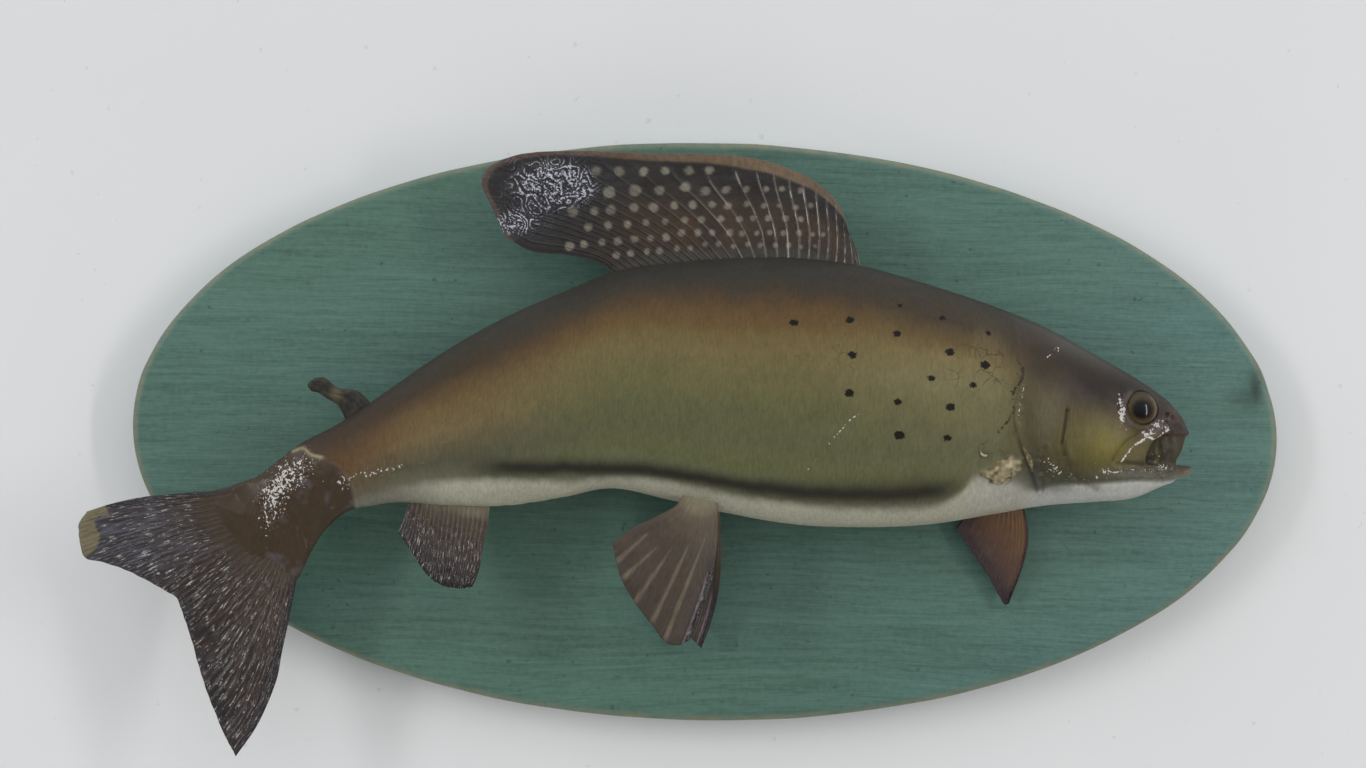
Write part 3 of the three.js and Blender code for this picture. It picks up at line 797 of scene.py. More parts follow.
@dataclass(frozen=True)
class Body:
    """The fish's trunk and head as sections, from the snout to the root of the tail fin.

    A section's plane holds its back point, its belly point and the Y direction. Its columns are back x,
    back z, belly x, belly z, half width and squareness.
    """

    stations: tuple[Point, ...] = (
        (186.2, 2.6, 187.8, -12.0, 2.2, 2.0),
        (184.2, 8.0, 184.6, -14.4, 6.8, 2.1),
        (178.7, 14.8, 176.6, -17.4, 10.4, 2.2),
        (166.0, 23.6, 165.0, -22.3, 14.4, 2.3),
        (150.0, 32.6, 150.0, -24.0, 18.2, 2.35),
        (130.0, 43.2, 131.0, -25.7, 21.8, 2.3),
        (110.0, 51.0, 112.0, -29.2, 24.0, 2.25),
        (84.0, 59.2, 86.0, -33.8, 25.4, 2.2),
        (58.6, 65.8, 58.6, -35.3, 26.0, 2.15),
        (34.0, 68.4, 34.0, -34.5, 26.0, 2.15),
        (8.0, 67.8, 8.0, -30.5, 25.6, 2.15),
        (-14.0, 65.7, -14.0, -25.8, 24.6, 2.15),
        (-34.8, 62.4, -36.0, -21.8, 23.2, 2.15),
        (-56.0, 53.8, -54.0, -25.4, 21.2, 2.1),
        (-80.0, 42.6, -76.0, -29.0, 18.6, 2.1),
        (-103.0, 28.9, -99.0, -29.3, 15.6, 2.1),
        (-125.7, 12.6, -118.5, -28.4, 12.4, 2.1),
        (-142.6, 1.0, -128.8, -30.0, 10.2, 2.1),
        (-155.8, -6.2, -137.2, -31.8, 8.4, 2.1),
        (-165.4, -14.2, -145.3, -38.4, 6.8, 2.1),
        (-172.6, -19.6, -150.6, -46.4, 5.0, 2.1),
        (-181.3, -22.6, -156.2, -58.6, 3.2, 2.1),
    )
    middle_y: float = -49.0
    swing_from: float = -40.0
    swing_length: float = 200.0
    swing_out: float = 8.0
    samples: int = 800

    @cached_property
    def table(self) -> Array:
        """The sections at even steps of the length, with the stations' columns.

        Returns:
            One row for each step.
        """
        rows = np.array(self.stations)
        share = np.linspace(0, 1, self.samples)
        girth = np.column_stack([np.arange(len(rows)) * 20.0, rows[:, 4:6]])
        curves = (SmoothCurve(rows[:, 0:2]), SmoothCurve(rows[:, 2:4]), SmoothCurve(girth))
        back, belly, wide = (curve.at(share) for curve in curves)
        return np.column_stack([back, belly, wide[:, 1:]])

    def section(self, t: Array) -> list[Array]:
        """The columns of the sections at shares t of the length."""
        shares = np.linspace(0, 1, self.samples)
        return [np.interp(t, shares, self.table[:, k]) for k in range(6)]

    def middle(self, x: Array) -> Array:
        """Y of the middle plane, which curls out from the wall towards the tail."""
        return self.middle_y - self.swing_out * np.maximum(0, (self.swing_from - x) / self.swing_length) ** 2

    def surface(self, t: Array, angle: Array) -> Array:
        """Points of the body's surface.

        Args:
            t: shares of the length, 0 at the snout.
            angle: turns round the section, a quarter turn at the back and half a turn on the right flank.

        Returns:
            Rows of x, y and z.
        """
        back_x, back_z, belly_x, belly_z, wide, square = self.section(t)
        c, s = np.cos(angle), np.sin(angle)
        up = 0.5 + 0.5 * np.sign(s) * np.abs(s) ** (2 / square)
        x = belly_x + (back_x - belly_x) * up
        z = belly_z + (back_z - belly_z) * up
        y = self.middle(x) + wide * np.sign(c) * np.abs(c) ** (2 / square)
        return np.stack([x, y, z], -1)

    def locate(self, x: Array, z: Array) -> tuple[Array, Array]:
        """Finds the section that passes through points of the side view.

        Args:
            x, z: places of the side view.

        Returns:
            The share of the length, and the height on the section from 0 at the belly to 1 at the back.
        """
        low, high = np.zeros(x.shape), np.ones(x.shape)
        for _ in range(13):
            t = (low + high) / 2
            back_x, back_z, belly_x, belly_z, _, _ = self.section(t)
            behind = (back_x - belly_x) * (z - belly_z) - (back_z - belly_z) * (x - belly_x) > 0
            low, high = np.where(behind, t, low), np.where(behind, high, t)
        run, rise = back_x - belly_x, back_z - belly_z
        return t, ((x - belly_x) * run + (z - belly_z) * rise) / (run * run + rise * rise)

    def half_width(self, x: Array, z: Array) -> Array:
        """How far the surface stands from the middle plane at points of the side view.

        Args:
            x, z: places of the side view.

        Returns:
            Millimetres.
        """
        t, height = self.locate(x, z)
        _, _, _, _, wide, square = self.section(t)
        return wide * np.maximum(1 - np.abs(2 * height - 1) ** square, 0) ** (1 / square)


@dataclass(frozen=True)
class Flank:
    """One flank laid out flat. s runs along it in millimetres and g from 0 at the back to 1 at the belly."""

    body: Body
    side: int
    lengths: int = 420
    girths: int = 97

    @cached_property
    def grid(self) -> Array:
        """Points of the surface, evenly spaced round each half section.

        Returns:
            Points by section, girth and axis.
        """
        t = np.linspace(0, 1, self.lengths)[:, None]
        turn = np.pi / 2 + self.side * np.linspace(0, np.pi, 241)[None, :]
        fine = self.body.surface(np.broadcast_to(t, (self.lengths, 241)), turn)
        steps = np.linalg.norm(np.diff(fine, axis=1), axis=2)
        run = np.concatenate([np.zeros((self.lengths, 1)), np.cumsum(steps, 1)], 1)
        even = np.linspace(0, 1, self.girths)
        rows = [
            [np.interp(even * run[i, -1], run[i], fine[i, :, k]) for k in range(3)] for i in range(self.lengths)
        ]
        return np.moveaxis(np.array(rows), 1, 2)

    @cached_property
    def reach(self) -> Array:
        """How far along the flank each section of the grid lies."""
        line = self.grid[:, self.girths // 2]
        return np.concatenate([[0], np.cumsum(np.linalg.norm(np.diff(line, axis=0), axis=1))])

    def at(self, s: Array, g: Array) -> Array:
        """Points of the flank, between the points of the grid.

        Args:
            s: millimetres along the flank.
            g: shares of the way from the back to the belly.

        Returns:
            Rows of x, y and z.
        """
        row = np.interp(s, self.reach, np.arange(self.lengths))
        column = np.clip(g, 0, 1) * (self.girths - 1)
        i = np.minimum(row.astype(int), self.lengths - 2)
        j = np.minimum(column.astype(int), self.girths - 2)
        p, q = (row - i)[..., None], (column - j)[..., None]
        near = self.grid[i, j] * (1 - q) + self.grid[i, j + 1] * q
        far = self.grid[i + 1, j] * (1 - q) + self.grid[i + 1, j + 1] * q
        return near * (1 - p) + far * p

    def girth(self, s: Array) -> Array:
        """Length of the half section from the back to the belly."""
        steps = np.linalg.norm(np.diff(self.grid, axis=1), axis=2).sum(1)
        return np.interp(s, self.reach, steps)

    def frames(self, s: Array, g: Array) -> tuple[Array, Array, Array, Array]:
        """Where places of the flank are and how the surface lies there.

        Args:
            s: millimetres along the flank.
            g: shares of the way from the back to the belly.

        Returns:
            Points, and unit vectors towards the tail, towards the belly and out of the surface.
        """
        step, share = 1.5, 0.02
        here = self.at(s, g)
        along = self.at(s + step, g) - self.at(s - step, g)
        down = self.at(s, g + share) - self.at(s, g - share)
        out = np.cross(along, down) * self.side
        out /= np.linalg.norm(out, axis=-1, keepdims=True)
        along /= np.linalg.norm(along, axis=-1, keepdims=True)
        down = down - along * np.sum(down * along, -1, keepdims=True)
        down /= np.linalg.norm(down, axis=-1, keepdims=True)
        return here, along, down, out


# ---------------------------------------------------------------- the markings


@dataclass(frozen=True)
class Patch:
    """A soft round patch of paint in the side view."""

    x: float
    z: float
    wide: float
    high: float
    strength: float = 1.0
    lean: float = 0.0
    colour: Array | None = None

    def share(self, x: Array, z: Array) -> Array:
        """How much of the paint lies at each point.

        Args:
            x, z: places of the side view.

        Returns:
            Shares from 0 to the strength.
        """
        run, rise = x - self.x, z - self.z
        c, s = math.cos(self.lean), math.sin(self.lean)
        along, across = (run * c + rise * s) / self.wide, (rise * c - run * s) / self.high
        return self.strength * np.exp(-(along**2 + across**2))


def patch_rows(*rows: Point) -> tuple[Patch, ...]:
    """Patches from rows of x, z, width, height, strength, lean and a paint's screen values."""
    return tuple(Patch(*row[:6], colour=tint(*row[6:]) if row[6:] else None) for row in rows)


@dataclass(frozen=True)
class Stroke:
    """A soft line of paint in the side view."""

    line: tuple[Point, ...]
    width: float
    colour: Array | None = None
    strength: float = 1.0
    fineness: int = 5

    def away(self, x: Array, z: Array, reach: float) -> Array:
        """How far points lie from the line.

        Args:
            x, z: places of the side view.
            reach: the distance beyond which it doesn't matter.

        Returns:
            Distances, or 9 for a place well beyond the reach.
        """
        given = np.array(self.line)
        low, high = given.min(0) - reach, given.max(0) + reach
        near = (x > low[0]) & (x < high[0]) & (z > low[1]) & (z < high[1])
        away = np.full(x.shape, 9.0)
        away[near] = line_distance(x[near], z[near], smooth_line(given, self.fineness * len(given)))
        return away

    def share(self, x: Array, z: Array) -> Array:
        """How much of the paint lies at each point."""
        return self.strength * hill(self.away(x, z, 3 * self.width), self.width)

    @staticmethod
    def depth(lines: Sequence["Stroke"], x: Array, z: Array) -> Array:
        """How far inside the nearest of some lines each point lies, at least -3."""
        return np.max([np.full(x.shape, -3.0)] + [line.width - line.away(x, z, 3.0) for line in lines], axis=0)


ROOT_BROWN = tint(62, 49, 35)
THROAT_WHITE = tint(175, 174, 168)
BELLY_PALE = tint(163, 160, 142)
STRIPE_DARK = tint(40, 38, 30)
CREAM = tint(150, 138, 108)
GAPE_DARK = tint(46, 42, 26)
# Painted shade for the mouth's hollows.
PAINTED_MOUTH_SHADE = tint(30, 24, 16)
GILL_EDGE = (
    (119.5, 29.5), (117.8, 24.5), (116.9, 16.7), (115.7, 12.1), (115.5, 7.6), (117.2, 1.1), (119.2, -4.0),
    (121.9, -9.8), (123.9, -14.3), (125.8, -19.2), (127.5, -22.6),
)
CHEEK_CREASE = ((135.9, 11.5), (135.3, 6.5), (134.2, -1.0), (135.4, -5.5))
THROAT_LINE = ((126.2, -19.4), (132.5, -17.2), (142.0, -16.9), (149.3, -16.5), (157.0, -15.8), (166.0, -15.2),
               (175.9, -15.6), (184.0, -14.4))
BELLY_LINE = (
    (-160.0, -30.0), (-135.1, -27.1), (-116.1, -21.9), (-100.9, -19.7), (-85.7, -18.7), (-55.2, -19.0),
    (-24.8, -17.0), (-1.9, -20.1), (21.0, -24.7), (55.3, -27.2), (85.7, -25.9), (94.0, -22.5), (100.0, -16.5),
    (105.5, -13.6), (112.0, -14.4), (118.5, -17.2), (125.6, -20.0),
)
STRIPE_LINE = (
    (-118.0, -17.5), (-100.6, -15.0), (-89.2, -14.1), (-58.9, -13.6), (-24.8, -13.8), (-2.0, -16.5),
    (20.8, -19.9), (54.9, -21.7), (85.2, -20.4), (102.2, -18.3),
)
COLLAR = (
    (-158.0, -9.1), (-153.9, -7.9), (-150.8, -10.1), (-146.2, -11.2), (-140.1, -14.1), (-137.0, -17.9),
    (-134.7, -21.6), (-133.4, -30.0),
)
JAW_CREASE = ((156.1, -7.6), (159.8, -3.0), (162.4, -1.0), (166.9, 1.7), (172.2, 3.3), (175.2, 5.2))
RAY_START = (
    (-175.0, -21.6), (-182.0, -24.6), (-190.6, -28.6), (-187.5, -36.0), (-182.5, -42.5), (-176.4, -49.2),
    (-166.5, -52.6), (-160.5, -56.0), (-156.2, -57.0),
)
TAIL_ROOT_INSIDE = ((-152.0, -46.0), (-166.0, -26.0))


def behind_collar(x: Array, z: Array) -> Array:
    """How far points of the side view lie ahead of the tail root's collar, below zero behind it."""
    corners = [(-133.4, -90.0), (-260.0, -90.0), (-260.0, -2.0), (-162.0, -2.0)]
    return outline_distance(x, z, np.vstack([smooth_line(COLLAR, 40), corners]))


@dataclass(frozen=True)
class Markings:
    """The paint of the body, which its skin and its scales share."""

    body: Body
    middle_tones: tuple[Point, ...] = (
        (0.00, 128, 126, 110), (0.08, 112, 112, 90), (0.20, 94, 95, 62),
        (0.30, 90, 90, 62), (0.40, 90, 90, 60), (0.50, 98, 93, 60), (0.64, 106, 93, 60),
        (0.70, 102, 86, 52), (0.735, 96, 76, 44), (0.785, 88, 67, 40),
        (0.83, 74, 57, 38), (0.88, 56, 49, 39), (0.93, 50, 46, 40), (1.00, 52, 50, 46),
    )
    front_tones: tuple[Point, ...] = (
        (0.00, 132, 130, 116), (0.16, 98, 96, 66), (0.30, 94, 92, 66),
        (0.46, 101, 97, 67), (0.60, 115, 107, 76), (0.70, 115, 102, 68),
        (0.78, 92, 77, 48), (0.86, 62, 53, 41), (1.00, 54, 51, 46),
    )
    rear_tones: tuple[Point, ...] = (
        (0.00, 126, 124, 108), (0.14, 107, 106, 86), (0.30, 80, 78, 61),
        (0.50, 108, 92, 62), (0.66, 96, 78, 46), (0.74, 80, 62, 38),
        (0.81, 60, 48, 34), (0.89, 54, 49, 40), (1.00, 56, 52, 46),
    )
    stem_tones: tuple[Point, ...] = (
        (0.00, 100, 94, 80), (0.25, 94, 82, 64), (0.55, 92, 66, 40),
        (0.80, 66, 50, 35), (1.00, 54, 48, 42),
    )
    head_tones: tuple[Point, ...] = (
        (0.00, 120, 116, 100), (0.16, 62, 60, 40), (0.30, 70, 65, 36),
        (0.45, 78, 69, 37), (0.58, 68, 54, 28), (0.70, 50, 37, 22),
        (0.82, 50, 40, 30), (0.92, 56, 49, 42), (1.00, 60, 56, 50),
    )
    spots: tuple[tuple[float, float, float], ...] = (
        (32.3, 42.6, 1.7), (53.4, 44.1, 1.6), (54.3, 30.9, 1.7), (71.1, 39.1, 1.6), (72.4, 50.0, 1.0),
        (88.7, 45.4, 1.2), (106.0, 40.0, 1.1), (71.5, 13.5, 1.5), (53.4, 16.6, 1.8), (84.1, 22.7, 1.5),
        (91.1, 32.6, 1.8), (104.4, 27.9, 1.9), (99.6, 20.4, 1.4), (91.5, 12.0, 1.8), (90.5, 0.3, 1.6),
        (72.5, 1.1, 2.0),
    )
    patches: tuple[Patch, ...] = patch_rows(
        (147.4, 0.6, 11, 10, 0.85, 0.2, 104, 93, 48), (153.5, -2.0, 7, 7, 0.65, 0, 118, 106, 46),
        (146.6, 20.5, 15, 7.0, 0.92, -0.4, 30, 20, 13), (158.0, 20.5, 7, 4.0, 0.7, -0.6, 36, 30, 28),
        (134.0, 25.0, 13, 5, 0.6, -0.4, 52, 42, 32), (126.0, 4.0, 6, 11, 0.5, 0, 76, 68, 48),
        (124.5, -12.5, 6, 5, 0.75, 0.6, 44, 46, 36), (133.0, -17.0, 8, 3.5, 0.65, 0, 56, 56, 46),
        (171.0, 5.0, 6.5, 2.4, 0.85, 0.5, 98, 84, 82), (182.0, 6.0, 5, 7, 0.75, 0, 54, 42, 38),
        (163.0, -4.5, 5, 4, 0.8, 0.3, 92, 82, 50), (179.5, 10.5, 4, 3, 0.6, 0, 74, 58, 52),
        (185.0, -11.6, 3, 1.4, 0.7, 0, 120, 82, 74), (166.0, -12.5, 15, 2.4, 0.75, 0, 110, 106, 96),
        (140.0, 36.0, 16, 4, 0.5, -0.5, 84, 80, 74), (104.0, 33.0, 9, 9, 0.4, 0, 104, 92, 66),
        # The last three patches are painted light on the middle of the gill cover and painted shade towards its free
        # edge.
        (110.0, -20.0, 12, 6, 0.7, 0.1, 164, 158, 152), (129.1, 13.4, 7, 9, 0.5, 0, 98, 90, 68),
        (120.9, 9.7, 2.6, 11, 0.5, 0.1, 64, 58, 42), (124.1, -3.3, 4, 5, 0.5, 0, 66, 62, 48),
    )
    strokes: tuple[Stroke, ...] = (
        # The first four strokes darken the cheek crease, the groove running down from it and the groove under the
        # gill cover's free edge: painted shade.
        Stroke(CHEEK_CREASE[:3], 0.38, tint(30, 24, 16), 0.95),
        Stroke(((135.4, -5.5), (137.5, -10.0), (141.0, -14.0), (149.0, -18.0)), 1.6, tint(62, 54, 40), 0.5),
        Stroke(GILL_EDGE[1:7], 0.5, tint(54, 46, 34), 0.35),
        Stroke(GILL_EDGE[6:10], 0.7, tint(36, 34, 24), 0.45),
        Stroke(((121.6, -5.6), (124.4, -10.6), (127.6, -15.6), (128.2, -19.4)), 0.6, tint(40, 38, 26), 0.5),
        Stroke(((159.0, -7.5), (166.0, -8.6), (178.0, -9.4), (186.0, -10.2)), 0.7, tint(52, 42, 34), 0.7),
    )
    cracks: tuple[Stroke, ...] = (
        Stroke(((119.0, 27.1), (118.3, 22.6), (115.5, 18.7), (115.0, 14.9), (115.4, 11.1), (113.4, 7.2),
                (109.6, 2.6)), 0.42),
        Stroke(((105.0, 24.6), (108.4, 22.6), (111.6, 20.0), (114.6, 17.6)), 0.12),
        Stroke(((116.6, 30.6), (117.8, 28.0), (118.8, 25.4)), 0.30),
        Stroke(((109.6, 2.6), (106.4, 0.0), (103.4, -2.2)), 0.12),
    )
    # The first four are painted highlight lines along the jaw crease, the lips and the gill cover's edge; the last
    # three are pale scratches, painted in the same glint colour.
    glints_and_scratches: tuple[Stroke, ...] = (
        Stroke(((157.1, -8.0), (159.9, -4.6), (162.1, -1.7), (164.9, -0.1), (167.4, 1.8)), 0.36),
        Stroke(((167.2, 1.6), (171.1, 1.2), (173.9, 3.2), (176.4, 4.5)), 0.24),
        Stroke(((166.0, 3.4), (168.4, 2.0), (169.4, 1.0)), 0.5),
        Stroke(((118.9, 20.6), (118.6, 17.5), (117.6, 13.0), (116.9, 9.2)), 0.12),
        Stroke(((127.1, 29.9), (128.8, 31.5), (130.5, 32.6)), 0.08),
        Stroke(((131.2, 34.2), (132.4, 35.0), (133.5, 34.6), (132.8, 33.6)), 0.08),
        Stroke(((59.4, 11.1), (53.9, 6.5), (47.2, -1.1), (41.0, -9.5), (38.4, -12.5)), 0.15),
    )
    varnish: tuple[Patch, ...] = patch_rows(
        (168.0, -12.2, 16, 2.4, 1.0), (139.0, -14.5, 12, 3.0, 0.8, -0.3), (126.0, -9.0, 6, 5, 0.6, -0.6),
        (171.5, 5.6, 7, 2.4, 1.0, 0.5), (175.5, 5.0, 3, 4, 1.0), (157.6, 12.6, 1.5, 6.5, 1.0, -0.15),
        (117.4, 12.0, 1.0, 10, 0.7, -0.1), (130.4, 32.4, 5, 1.4, 0.8, 0.65), (184.0, 4.0, 2.5, 2.5, 0.8),
        (172.0, -6.0, 4, 5, 0.4), (-166.0, -32.0, 5.0, 16, 1.0, -0.2), (-154.5, -16.5, 9, 5.0, 0.9, 0.6),
        (-129.0, -15.5, 13, 3.2, 0.55, 0.25), (-112.0, 6.0, 12, 1.6, 0.35, 0.45), (-97.5, -5.0, 6, 1.6, 0.6, 0.25),
        (-103.0, 3.0, 4, 3.0, 0.4, 0.3),
    )
    # Painted highlights: where glints are painted thick, as on the silver patch behind the eye, the lips, the jaw
    # and the tail's root.
    sparkles: tuple[Patch, ...] = patch_rows(
        (157.4, 9.4, 1.7, 3.8, 1.25, -0.15), (156.8, 15.4, 1.2, 3.4, 1.0, 0.1), (159.6, 4.6, 1.2, 2.6, 0.8, 0.5),
        (171.8, 6.4, 5.4, 2.2, 1.0, 0.6), (175.6, 4.6, 1.6, 2.2, 1.05), (168.2, 2.4, 2.0, 1.2, 1.1, 0.3),
        (163.0, -11.2, 14, 1.3, 0.75), (177.0, -9.8, 6, 1.3, 0.7), (153.0, -12.4, 5, 2.0, 0.75),
        (172.5, -6.0, 3.5, 4.0, 0.62), (139.0, -13.4, 9, 1.8, 0.62, -0.3), (130.0, -10.0, 5, 3.0, 0.62, -0.6),
        (139.9, 25.6, 0.6, 0.4, 1.0), (147.9, -8.6, 0.5, 0.5, 1.2), (148.2, -14.2, 0.6, 0.6, 1.2),
        (-165.5, -29.0, 6.0, 15, 0.9, -0.2), (-156.0, -17.0, 10, 6.0, 0.85, 0.6),
        (-124.0, -16.0, 16, 1.7, 0.95, 0.22), (-138.0, -22.0, 3, 4, 0.6, 0.22),
    )

    def paint(self, points: Array) -> dict[str, Array]:
        """Paints places of the body.

        Args:
            points: rows of x, y and z.

        Returns:
            A colour, a roughness, shares of lumpy varnish, painted glints and crackle, and how far inside a painted
            highlight line or a pale scratch, a crack and a dark spot each place lies.
        """
        x, y, z = points.T
        _, height = self.body.locate(x, z)
        height = np.clip(height, 0, 1)
        right = y < self.body.middle(x)
        cloud = Noise(3).on(points, 9.0) * 0.5 + Noise(4).on(points, 3.6) * 0.5
        colour = self._base(x, np.clip(height + cloud * 0.03, 0, 1))
        colour = self._pale_belly(colour, x, z, cloud)
        for coat in self.patches + self.strokes:
            colour = mix(colour, coat.colour, coat.share(x, z) * (x > 100))
        colour = self._tail_root(colour, points, cloud)
        lumps = np.clip(sum(patch.share(x, z) for patch in self.varnish), 0, 1)
        rough = 0.5 + 0.06 * Noise(5).on(points, 14.0) - 0.06 * smooth(x, 112, 125)
        rough = rough - 0.14 * smooth(-behind_collar(x, z), 0, 6) * (x < -120)
        sparkle = np.clip(sum(glint.share(x, z) for glint in self.sparkles), 0, 1.2) * right
        crackle = np.exp(-(((x - 104) / 14) ** 2 + ((z - 26) / 13) ** 2)) * right * (height > 0.3)
        crackle = crackle + 0.6 * np.exp(-(((x - 45) / 12) ** 2 + ((z - 30) / 8) ** 2)) * right
        spot = np.full(x.shape, -3.0)
        for spot_x, spot_z, radius in self.spots:
            spot = np.maximum(spot, radius - np.hypot(x - spot_x, (z - spot_z) * 1.15))
        glint_and_scratch_line, crack = (np.where(right, Stroke.depth(lines, x, z), -3.0) for lines in (self.glints_and_scratches, self.cracks))
        return {PAINT: colour * (1 + 0.05 * cloud[:, None]), GLOSS: np.clip(rough - 0.34 * lumps, 0.13, 0.6),
                LUMPS: lumps, SPARKLE: sparkle, "glint_and_scratch_line": glint_and_scratch_line, "crack": crack, "crackle": crackle * 0.8, "spot": spot}

    def _base(self, x: Array, height: Array) -> Array:
        """The tones of the flank and head without their marks.

        Args:
            x: places along X.
            height: heights on the section, from 0 to 1.

        Returns:
            A colour for each place.
        """
        colour = ramp(height, self.middle_tones)
        colour = mix(colour, ramp(height, self.front_tones), smooth(x, 30, 100))
        colour = mix(colour, ramp(height, self.rear_tones), smooth(-x, 30, 100))
        colour = mix(colour, ramp(height, self.stem_tones), smooth(-x, 104, 140))
        return mix(colour, ramp(height, self.head_tones), smooth(x, 106, 128))

    def _pale_belly(self, colour: Array, x: Array, z: Array, cloud: Array) -> Array:
        """Adds the dark stripe, the pale belly under it and the white throat.

        Args:
            colour: the paint so far.
            x, z: places of the side view.
            cloud: a soft noise.

        Returns:
            The paint with them.
        """
        stripe = smooth_line(STRIPE_LINE, 80)
        centre = np.interp(x, stripe[:, 0], stripe[:, 1])
        fade = smooth(x, -99, -71) * smooth(-x, -104, -84)
        colour = mix(colour, STRIPE_DARK, hill(z - centre + cloud * 0.8, 3.5 + smooth(x, 0, 60)) * fade)
        belly = smooth_line(BELLY_LINE, 90)
        edge = np.interp(x, belly[:, 0], belly[:, 1])
        under = smooth(edge - z + cloud * 1.2, -1.8, 2.4) * (x < 126) * smooth(x, -158, -138)
        pale = mix(np.broadcast_to(BELLY_PALE, colour.shape), tint(118, 114, 102), smooth(-x, 92, 124))
        colour = mix(colour, pale, under)
        throat = smooth_line(THROAT_LINE, 60)
        edge = np.interp(x, throat[:, 0], throat[:, 1])
        return mix(colour, THROAT_WHITE, smooth(edge - z, -1.4, 1.2) * smooth(x, 118, 127))

    def _tail_root(self, colour: Array, points: Array, cloud: Array) -> Array:
        """Adds the varnished brown root of the tail, a painted purplish sheen on it, and its pale rim.

        Args:
            colour: the paint so far.
            points: rows of x, y and z.
            cloud: a soft noise.

        Returns:
            The paint with them.
        """
        x, _, z = points.T
        behind = smooth(-behind_collar(x, z) + cloud, -0.4, 1.2) * (x < -120)
        colour = mix(colour, ROOT_BROWN, behind)
        # Painted sheen: purplish grey blotches over the varnished root.
        painted_sheen = smooth(Noise(8).on(points, 4.2) + Noise(9).on(points, 1.9) * 0.7, 0.1, 0.8)
        colour = mix(colour, tint(92, 86, 92), behind * painted_sheen * 0.45 * smooth(x, -174, -168))
        rim = Stroke(COLLAR[:4], 0.7, CREAM, 0.75)
        return mix(colour, rim.colour, rim.share(x, z))


# ---------------------------------------------------------------- the skin


class Clay:
    """A solid kept as signed distances on a grid of voxels, below zero inside it."""

    def __init__(self, points: Array, triangles: Array, quads: Array, voxel: float,
                 margin: float) -> None:
        """Fills a closed mesh.

        Args:
            points: its vertices, in millimetres.
            triangles: its three-sided faces.
            quads: its four-sided faces.
            voxel: the size of a voxel.
            margin: room left around it.
        """
        self.voxel = voxel
        self.transform = openvdb.createLinearTransform(voxelSize=voxel)
        level = openvdb.FloatGrid.createLevelSetFromPolygons(
            points.astype(np.float32), triangles=triangles.astype(np.uint32), quads=quads.astype(np.uint32),
            transform=self.transform, halfWidth=4.4 / voxel)
        self.low = np.floor((points.min(0) - margin) / voxel).astype(int)
        count = np.ceil((points.max(0) + margin) / voxel).astype(int) - self.low + 1
        self.values = np.zeros(tuple(count), np.float32)
        level.copyToArray(self.values, ijk=tuple(int(n) for n in self.low))

    def axis(self, k: int, part: slice = slice(None)) -> Array:
        """Places of the voxels along an axis, shaped to spread over the grid.

        Args:
            k: the axis.
            part: the voxels along it.

        Returns:
            One place for each voxel.
        """
        shape = [1, 1, 1]
        shape[k] = -1
        places = (np.arange(self.values.shape[k]) + self.low[k]) * self.voxel
        return places[part].astype(np.float32).reshape(shape)

    def axes(self, part: tuple[slice, ...]) -> list[Array]:
        """Places of the voxels of a box along each axis."""
        return [self.axis(k, part[k]) for k in range(3)]

    def side_view(self, part: tuple[slice, ...] = (slice(None),) * 3) -> list[Array]:
        """The x and z of every column of voxels of a box that runs along Y."""
        return np.meshgrid(self.axis(0, part[0]).ravel(), self.axis(2, part[2]).ravel(), indexing="ij")

    def part(self, low: Point, high: Point) -> tuple[slice, slice, slice]:
        """The voxels of a box.

        Args:
            low: the box's lowest corner.
            high: its highest corner.

        Returns:
            The voxels along each axis.
        """
        first = [max(int(a / self.voxel) - n, 0) for a, n in zip(low, self.low)]
        last = [min(int(b / self.voxel) - n + 1, size) for b, n, size in zip(high, self.low, self.values.shape)]
        return tuple(slice(a, max(a + 1, b)) for a, b in zip(first, last))

    def join(self, part: tuple[slice, ...], other: Array, blend: float) -> None:
        """Adds a solid, blended in over a width.

        Args:
            part: the box it lies in.
            other: its signed distances there.
            blend: the width.
        """
        here, other = self.values[part], other.astype(np.float32)
        share = np.clip(0.5 + 0.5 * (other - here) / blend, 0, 1)
        self.values[part] = other + (here - other) * share - blend * share * (1 - share)

    def cut(self, part: tuple[slice, ...], other: Array, blend: float) -> None:
        """Takes a solid away, with its edges rounded over a width.

        Args:
            part: the box it lies in.
            other: its signed distances there.
            blend: the width.
        """
        here, other = self.values[part], other.astype(np.float32)
        share = np.clip(0.5 - 0.5 * (-other - here) / blend, 0, 1)
        self.values[part] = -other + (here + other) * share + blend * share * (1 - share)

    def surface(self) -> tuple[Array, Array, Array]:
        """The solid's surface as points, triangles and quads.

        Returns:
            Rows of x, y and z, and two arrays of point numbers.
        """
        grid = openvdb.FloatGrid()
        grid.transform = self.transform
        grid.gridClass = "level set"
        grid.copyFromArray(self.values, ijk=tuple(int(n) for n in self.low), tolerance=0.0)
        points, triangles, quads = grid.convertToPolygons(isovalue=0.0, adaptivity=0.0)
        return points.astype(float), triangles.astype(np.int64), quads.astype(np.int64)


@dataclass(frozen=True)
class Relief:
    """A soft dent or ridge of the head along a line of the side view."""

    line: tuple[Point, ...]
    height: float
    width: float

    def lift(self, x: Array, z: Array) -> Array:
        """How far the surface is raised at each point."""
        return Stroke(self.line, self.width, None, self.height, 6).share(x, z)


